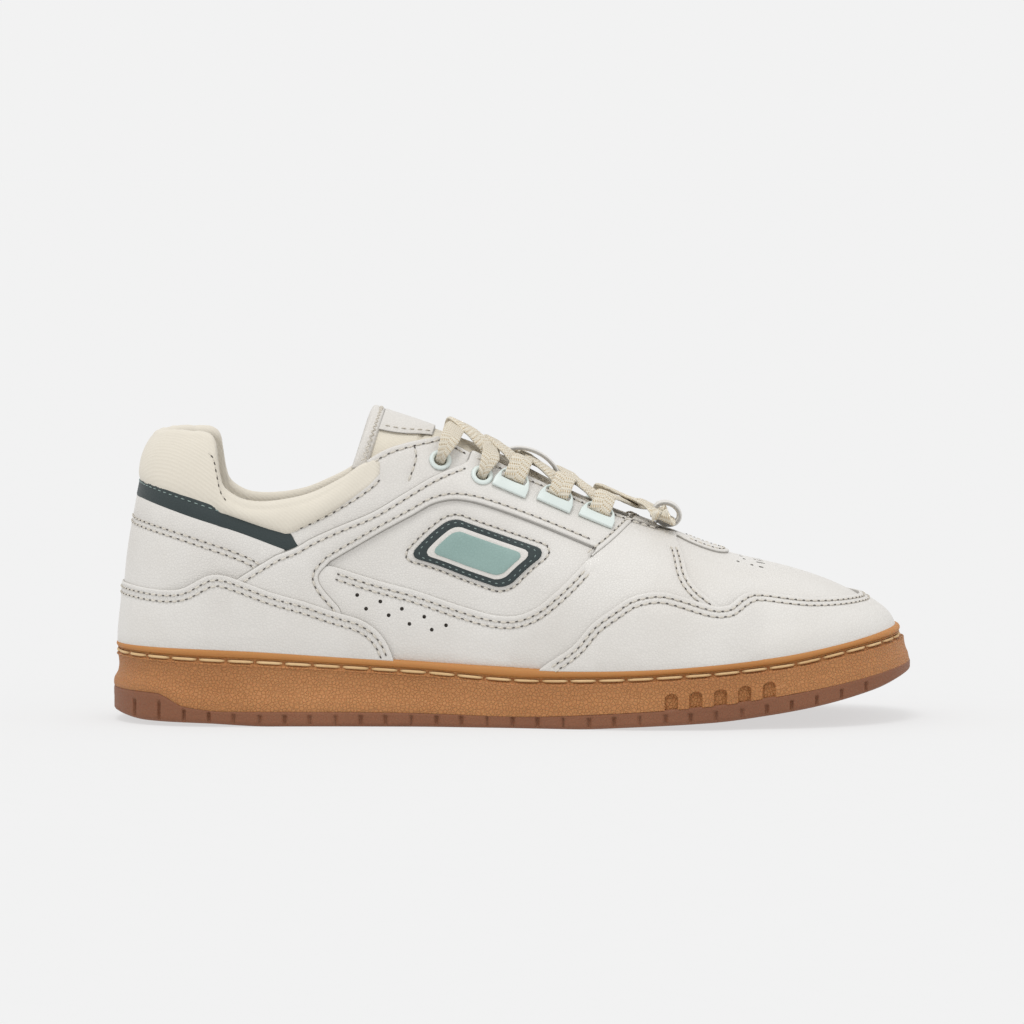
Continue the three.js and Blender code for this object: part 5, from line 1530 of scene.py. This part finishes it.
def tongue_slab(name, shares, width, outer, inner, finish, nodes, columns=40, edge=1.0):
    """Closed sheet along the tongue with rounded sides and ends."""
    turns = columns * 2
    rows = []
    first, last = shares[0], shares[-1]
    for share in shares:
        angle = np.linspace(0, 2 * math.pi, turns, endpoint=False)
        c, s = np.cos(angle), np.sin(angle)
        across = np.sign(c) * np.abs(c) ** 0.55
        lift = np.sign(s) * np.abs(s) ** 0.55
        to_end = min(share - first, last - share) * TONGUE_LENGTH
        fade = min(1.0, (max(to_end, 0.0) / edge)) if edge else 1.0
        fade = math.sqrt(max(1 - (1 - fade) ** 2, 0.0004))
        flare, high, low = (value(share) if callable(value) else value for value in (width, outer, inner))
        middle, half = (high + low) / 2, (high - low) / 2 * fade
        side_fade = (1 - 0.4 * np.abs(across) ** 6)
        point = tongue(np.full(turns, share), across * flare, np.zeros(turns))
        normal = tongue_normal(np.full(turns, share), across * flare * 0.98)
        rows.append(point + normal * (middle + lift * half * side_fade)[:, None])
    points = np.vstack(rows)
    faces = grid_faces(len(rows), turns, wrap_columns=True)
    made = len(faces)
    faces += strip_cap(list(range(turns)), False)
    faces += strip_cap([(len(rows) - 1) * turns + j for j in range(turns)], True)
    obj = new_object(name, points, faces, finish, body=None, parts=nodes)
    if isinstance(finish, list):
        for k, polygon in enumerate(obj.data.polygons):
            column = k % turns
            beside = abs(math.sin(2 * math.pi * (column + 0.5) / turns)) < 0.25
            row = k // turns
            if k >= made or beside or row < 1 or row >= len(rows) - 2:
                polygon.material_index = 1
    return obj


# Reach of the leather patch across the tongue, along its length
PATCH_REACH = through((0.806, 0.36), (0.84, 0.42), (0.88, 0.49), (0.92, 0.53), (0.962, 0.55))


def make_tongue():
    """Padded tongue with its leather patch, its binding and their stitches."""
    def puff(share):
        seam = math.exp(-((share - 0.835) / 0.006) ** 2)
        return 0.45 * math.sin(math.pi * share) - 0.9 * seam

    shares = np.concatenate([np.linspace(0.0, 0.02, 5), np.linspace(0.025, 0.965, 150),
                             np.linspace(0.968, 1.0, 14)])
    body = tongue_slab("tongue_pad", shares, 0.985, puff, lambda share: -TONGUE_THICKNESS(share) * 0.92,
                       TONGUE_CLOTH, ["tongue_body", "tongue_top"], columns=44, edge=4.0)
    before, after = tongue(TONGUE_BEND - 0.055, 0, 0) * MM, tongue(TONGUE_BEND + 0.055, 0, 0) * MM
    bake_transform(body)

    patch = tongue_slab("tongue_patch_skin", np.linspace(0.806, 0.962, 50), PATCH_REACH, 1.5, 0.0, SKIN,
                        ["tongue_patch"], columns=30, edge=0.35)
    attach(patch, TONGUE_END)
    shares = np.linspace(0.955, 1.0, 22)
    binding = tongue_slab("tongue_binding_skin", shares, 0.985, 1.6,
                          lambda share: -TONGUE_THICKNESS(share) * 0.7, LEATHER, ["tongue_binding"],
                          columns=44, edge=1.6)
    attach(binding, TONGUE_END)
    sewn = Thread()
    for side in (-1, 1):
        along = np.linspace(0.812, 0.95, 60)
        line = tongue(along, side * (PATCH_REACH(along) - 0.07), 0)
        normal = tongue_normal(along, side * (PATCH_REACH(along) - 0.07))
        sewn.row(line + normal * 1.45, normal, length=2.0, gap=0.9, radius=0.22)
    across = np.linspace(-0.93, 0.93, 60)
    zig = 0.972 + 0.006 * np.where(np.arange(60) % 2 == 0, 1, -1)
    line = tongue(zig, across, 0)
    normal = tongue_normal(zig, across)
    for i in range(59):
        sewn.stitch(line[i] + normal[i] * 1.6, line[i + 1] + normal[i + 1] * 1.6, normal[i], 0.22)
    sewn.add("tongue_thread", THREAD_LIGHT, body=TONGUE_END)


def show_cut_edges(strap, turns):
    """The two narrow sides of a strap swept with that many points in its section are raw leather."""
    for i, polygon in enumerate(strap.data.polygons):
        across = math.cos(2 * math.pi * (i % turns + 0.5) / turns)
        polygon.material_index = int(abs(across) > 0.9)


KEEPER_CENTRE, KEEPER_SPAN, KEEPER_RISE, KEEPER_POWER = 0.505, 0.165, 6.0, 0.45


def make_keeper():
    """Leather strap on the tongue that the lace passes under."""
    rows, turns = 60, 20
    points = []
    for i in range(rows):
        u = i / (rows - 1)
        share = KEEPER_CENTRE + (u - 0.5) * KEEPER_SPAN
        arch = KEEPER_RISE * math.sin(u * math.pi) ** KEEPER_POWER if 0 < u < 1 else 0.0
        ahead = tongue(share + 1e-3, 0, 0) - tongue(share - 1e-3, 0, 0)
        ahead /= np.linalg.norm(ahead)
        slope = KEEPER_RISE * KEEPER_POWER * math.pi / (KEEPER_SPAN * TONGUE_LENGTH) * math.cos(u * math.pi)
        slope /= max(math.sin(u * math.pi), 0.12) ** (1 - KEEPER_POWER)
        out = np.array([ahead[2], 0, -ahead[0]])
        out /= np.linalg.norm(out)
        leaning = out - ahead * slope
        leaning /= np.linalg.norm(leaning)
        middle = tongue(share, 0, 0.35 + arch)
        for j in range(turns):
            angle = 2 * math.pi * j / turns
            c, s = math.cos(angle), math.sin(angle)
            wide = math.copysign(abs(c) ** 0.35, c) * 3.3
            thick = math.copysign(abs(s) ** 0.6, s) * 0.75 + 0.75
            points.append(middle + np.array([0, wide, 0]) + leaning * thick)
    faces = [f[::-1] for f in grid_faces(rows, turns, wrap_columns=True)] + end_caps(rows, turns)
    keeper = new_object("keeper_strap", points, faces, SKIN, parts=["tongue_keeper"])
    show_cut_edges(keeper, turns)


# ---------------------------------------------------------------- lace, loops and eyelets

# Forward along the throat
THROAT_RUN = np.array([0.9, 0, -0.43])


def seat(x, setback, side):
    """Point and axes on the upper: forward along the throat, across, and the surface normal."""
    t, q = plan_view([(x, float(THROAT(x)) + setback)])[0]
    t = t if side < 0 else -t
    normal = upper_normal(t, q)
    forward = THROAT_RUN - normal * (THROAT_RUN @ normal)
    forward /= np.linalg.norm(forward)
    return upper_base(t, q), forward, np.cross(normal, forward), normal


def local(spot, side, v, w):
    """Place near a loop or eyelet: v towards the lace gap, w above the surface."""
    point, _, across, normal = seat(*spot, side)
    return point + across * (v if side < 0 else -v) + normal * w


LACE_WIDTH = 8.0
NECK = 3.7
LACE_STEP = 0.8
CROSSINGS = ((44, 82, 8), (22.5, 90, 8), (6.5, 97.6, 5.5), (-8, 104.4, 5), (-19.5, 110.4, 8))
FRONT_BAR = (57.5, 76)


def loop_stops(spot, side):
    """Lace stops down over a moulded loop, through its slit and back underneath."""
    path = ((10.5, 7.6), (7.6, 7.5), (5, 6.9), (3.3, 5.6), (3.2, 4.2), (4.8, 3.3), (7.4, 3), (10.8, 3.1))
    return [(*local(spot, side, v, w), LACE_WIDTH) for v, w in path]


def eyelet_stops(spot, side, last):
    """Lace stops down through an eyelet and back inside, or on to the tucked end."""
    path = [(8, 5, LACE_WIDTH * 0.9), (3.2, 5.4, NECK + 1.5), (0.6, 4.2, NECK), (0, 0, NECK)]
    if last:
        path += [(-0.2, -3.4, NECK), (-4, -4.8, NECK), (-12, -7.2, NECK)]
    else:
        path += [(0.3, -3, NECK), (2.4, -4.2, NECK), (6.6, -5, NECK), (9.8, -4, NECK + 0.8),
                 (13, -2, LACE_WIDTH * 0.8)]
    return [(*local(spot, side, v, w), width) for v, w, width in path]


def lace_half(start):
    """Stops of one half of the lace, from the front bar to its tucked end."""
    stops, side = [], -start
    for i, (x, z, width) in enumerate(CROSSINGS):
        over = (i % 2 == 0) == (start < 0)
        stops.append((x, float(CENTRE_Y(x)), z + (LACE_STEP if over else -LACE_STEP), width))
        if i < len(LOOP_SEATS):
            stops += loop_stops(LOOP_SEATS[-1 - i], side)
        else:
            last = i == len(CROSSINGS) - 1
            stops += eyelet_stops(EYELETS[0 if last else 1], side, last)
        side = -side
    return stops


def ribbon(stops, step=0.7):
    """Woven flat lace through stops of (x, y, z, width), with a rounded section."""
    stops = np.array(stops, float)
    path, widths = [], []
    p = stops[:, :3]
    padded = np.vstack([2 * p[0] - p[1], p, 2 * p[-1] - p[-2]])
    for i in range(1, len(padded) - 2):
        count = max(int(np.linalg.norm(padded[i + 1] - padded[i]) / step), 2)
        t = np.linspace(0, 1, count, endpoint=False)
        path.append(curve_span(*padded[i - 1:i + 3], t))
        widths.append(stops[i - 1, 3] * (1 - t) + stops[i, 3] * t)
    path, widths = np.vstack(path), np.concatenate(widths)
    tangent = np.gradient(path, axis=0)
    tangent /= np.linalg.norm(tangent, axis=1, keepdims=True)
    across = THROAT_RUN - tangent * (tangent @ THROAT_RUN)[:, None]
    across /= np.linalg.norm(across, axis=1, keepdims=True)
    normal = np.cross(tangent, across)
    sides = 18
    angle = np.linspace(0, 2 * math.pi, sides, endpoint=False)
    run = run_length(path)
    points, uv = [], []
    for i in range(len(path)):
        ratio = widths[i] / LACE_WIDTH
        half_w, half_t = widths[i] / 2, 0.84 * (1 / ratio) ** 0.5
        wobble = 0.10 * math.sin(run[i] * 0.9)
        for a in angle:
            u = math.copysign(abs(math.cos(a)) ** 0.6, math.cos(a))
            v = math.copysign(abs(math.sin(a)) ** 0.75, math.sin(a))
            thick = half_t * (0.86 + 0.22 * abs(u) ** 3)
            points.append(path[i] + across[i] * u * half_w + normal[i] * (v * thick + wobble * u * 0.5))
            uv.append((run[i], u * 4.0))
    faces = [f[::-1] for f in grid_faces(len(path), sides, wrap_columns=True)] + end_caps(len(path), sides)
    new_object("lace_ribbon", points, faces, LACE_CLOTH, uv=uv, parts=["lace"])


def make_lace():
    """The whole lace: the front bar and a crossing half on each side of it."""
    front = [(FRONT_BAR[0], d * 7.0, FRONT_BAR[1], LACE_WIDTH) for d in (-1, 1)]

    def bulge(d):
        stops = ((57, 13.5, 75.4), (55, 15.5, 77.4), (52.6, 12, 79.4))
        return [(x, d * y, z, LACE_WIDTH) for x, y, z in stops]

    ribbon(lace_half(-1)[::-1] + bulge(-1)[::-1] + front + bulge(1) + lace_half(1))


def plate(name, loop, holes, thickness, bevel, place_at, finish, nodes):
    """Moulded flat piece: an outline with holes, rounded on both faces; place_at maps (u, v, w)."""
    loops = [resample(loop, 0.5, True)] + [resample(h, 0.4, True) for h in holes]
    loops = [line if (loop_turn(line) > 0) == (k == 0) else line[::-1] for k, line in enumerate(loops)]
    flats = [flat_inset(line, bevel) for line in loops]
    links, at = [], 0
    for line in flats:
        links += ring_links(at, len(line))
        at += len(line)
    verts, faces, where = fill_between(np.vstack(flats), links, flats, 1e-5)
    n = len(verts)
    points = [(u, v, thickness) for u, v in verts] + [(u, v, 0) for u, v in verts]
    out = [tuple(f) for f in faces] + [(f[2] + n, f[1] + n, f[0] + n) for f in faces]
    at = 0
    for edge in loops:
        count = len(edge)
        mid = flat_inset(edge, bevel * 0.3)
        starts = []
        for line, w in ((mid, thickness - bevel * 0.3), (edge, thickness - bevel), (edge, bevel),
                        (mid, bevel * 0.3)):
            starts.append(len(points))
            points += [(u, v, w) for u, v in line]
        for i in range(count):
            j = (i + 1) % count
            p, q = where[at + i], where[at + j]
            out.append((starts[0] + i, starts[0] + j, q, p))
            for k in range(3):
                out.append((starts[k + 1] + i, starts[k + 1] + j, starts[k] + j, starts[k] + i))
            out.append((p + n, q + n, starts[3] + j, starts[3] + i))
        at += count
    placed = [place_at(*p) for p in points]
    return new_object(name, placed, out, finish, parts=nodes)


def make_loops():
    """Three moulded lace loops on each side."""
    half, height = 6.75, 9.0
    shape = [(-half, -2.5), (half, -2.5), (half, 1)]
    shape += [tuple(p) for p in smooth([(half, 1), (half - 1.2, 4.6), (half - 4, height - 1.4), (0, height),
                                        (4 - half, height - 1.4), (1.2 - half, 4.6), (-half, 1)], 0.6)[1:]]
    slit = smooth([(-4.6, 2.1), (0, 1.9), (4.6, 2.1)], 0.5)
    slit = np.vstack([slit, smooth([(4.9, 3.4), (4.6, 4.7), (0, 4.9), (-4.6, 4.7), (-4.9, 3.4)], 0.5)])
    for i, (x, setback) in enumerate(LOOP_SEATS):
        for side, word in ((-1, "lateral"), (1, "medial")):
            point, forward, across, normal = seat(x, setback, side)
            flip = 1 if side < 0 else -1

            def place_at(u, v, w):
                tilted_v = v * math.cos(0.16) - w * math.sin(0.16)
                tilted_w = v * math.sin(0.16) + w * math.cos(0.16)
                return point + forward * u * flip + across * tilted_v * flip + normal * (tilted_w + 3.55)

            plate(f"loop_{i + 1}_{word}", shape, [slit], 1.35, 0.4, place_at, PLASTIC,
                  [f"lace_loop_{i + 1}_{word}"])


def make_eyelets():
    """Rings of the two eyelets on each side."""
    profile = [(2.35, -2.2), (2.3, -0.4), (2.4, 0.35), (2.75, 0.72), (3.25, 0.82), (3.8, 0.66), (4.15, 0.3),
               (4.2, 0.0), (3.4, -0.1), (2.8, -0.3), (2.75, -2.2)]
    turns = 40
    for spot, name, level in ((EYELETS[0], "top", LAYER_1), (EYELETS[1], "second", STRAP_TOP_OFFSET)):
        lift = level + 0.1
        for side, word in ((-1, "lateral"), (1, "medial")):
            point, forward, across, normal = seat(*spot, side)
            points = []
            for j in range(turns):
                angle = 2 * math.pi * j / turns
                ray = forward * math.cos(angle) + across * math.sin(angle)
                points += [point + ray * r + normal * (lift + h) for r, h in profile]
            faces = grid_faces(turns, len(profile), wrap_rows=True, wrap_columns=True)
            new_object(f"eyelet_{name}_ring_{word}", points, faces, PLASTIC, parts=[f"eyelet_{name}_{word}"])


def make_vamp_loop():
    """Folded leather loop that holds the front bar of the lace."""
    turns, across = 56, 14
    points = []
    for i in range(turns):
        angle = 2 * math.pi * i / turns
        ray = np.array([math.cos(angle), math.sin(angle)])
        for j in range(across):
            turn = 2 * math.pi * j / across
            v = math.copysign(abs(math.cos(turn)) ** 0.4, math.cos(turn)) * 4.5
            w = math.sin(turn) * 0.95
            length, height = 4.9 + w, 3.9 + w
            u, up = ray[0] * length, ray[1] * height + 1.2
            c, s = math.cos(0.445), math.sin(0.445)
            points.append((FRONT_BAR[0] + u * c + up * s, v, FRONT_BAR[1] - u * s + up * c))
    faces = grid_faces(turns, across, wrap_rows=True, wrap_columns=True)
    loop = new_object("front_loop", points, faces, SKIN, parts=["vamp_loop"])
    show_cut_edges(loop, across)


make_lining()
make_collar()
make_sockliner()
make_tongue()
make_keeper()
make_lace()
make_loops()
make_eyelets()
make_vamp_loop()

HIDDEN = {"midsole_foam": FOAM, "lasting_board": BOARD, "heel_counter": STIFFENER, "toe_puff": STIFFENER}
for hidden_name, hidden_finish in HIDDEN.items():
    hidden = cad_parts[hidden_name]
    hidden.data.materials.clear()
    hidden.data.materials.append(hidden_finish)


# ---------------------------------------------------------------- camera, light and floor

def make_stage():
    """Camera, floor, even white surroundings and one soft sun."""
    camera_data = bpy.data.cameras.new("camera")
    camera = bpy.data.objects.new("camera", camera_data)
    bpy.context.scene.collection.objects.link(camera)
    aim = Vector((-0.0002, -0.03, 0.0794))
    elevation, distance = math.radians(3.5), 2.6
    camera.location = aim + distance * Vector((0, -math.cos(elevation), math.sin(elevation)))
    camera.rotation_euler = (aim - camera.location).to_track_quat("-Z", "Y").to_euler()
    camera_data.sensor_width = 36
    camera_data.lens = 36 * (distance - 0.02) / 0.3778
    camera_data.clip_end = 20
    bpy.context.scene.camera = camera

    bpy.ops.mesh.primitive_plane_add(size=30, location=(0, 0, 0))
    floor = bpy.context.object
    floor.name = "floor"
    floor.data.materials.append(FLOOR)

    bpy.context.scene.view_settings.view_transform = "Standard"
    world = bpy.data.worlds.new("studio")
    bpy.context.scene.world = world
    world.use_nodes = True
    world.node_tree.nodes["Background"].inputs[0].default_value = (1, 1, 1, 1)
    world.node_tree.nodes["Background"].inputs[1].default_value = 0.888
    light_data = bpy.data.lights.new("key", "SUN")
    light_data.angle = math.radians(24)
    light_data.energy = 1.0
    light = bpy.data.objects.new("key", light_data)
    light.rotation_euler = Vector((-0.15, -0.45, 1.2)).to_track_quat("Z", "Y").to_euler()
    bpy.context.scene.collection.objects.link(light)


make_stage()
thread.add("upper_thread", THREAD_LIGHT)
# Painted shade at the needle holes
needle_hole_shade.add("needle_hole_shade", HOLE_SHADE_PAINT)
fine_thread.add("fine_thread", THREAD_GREEN)
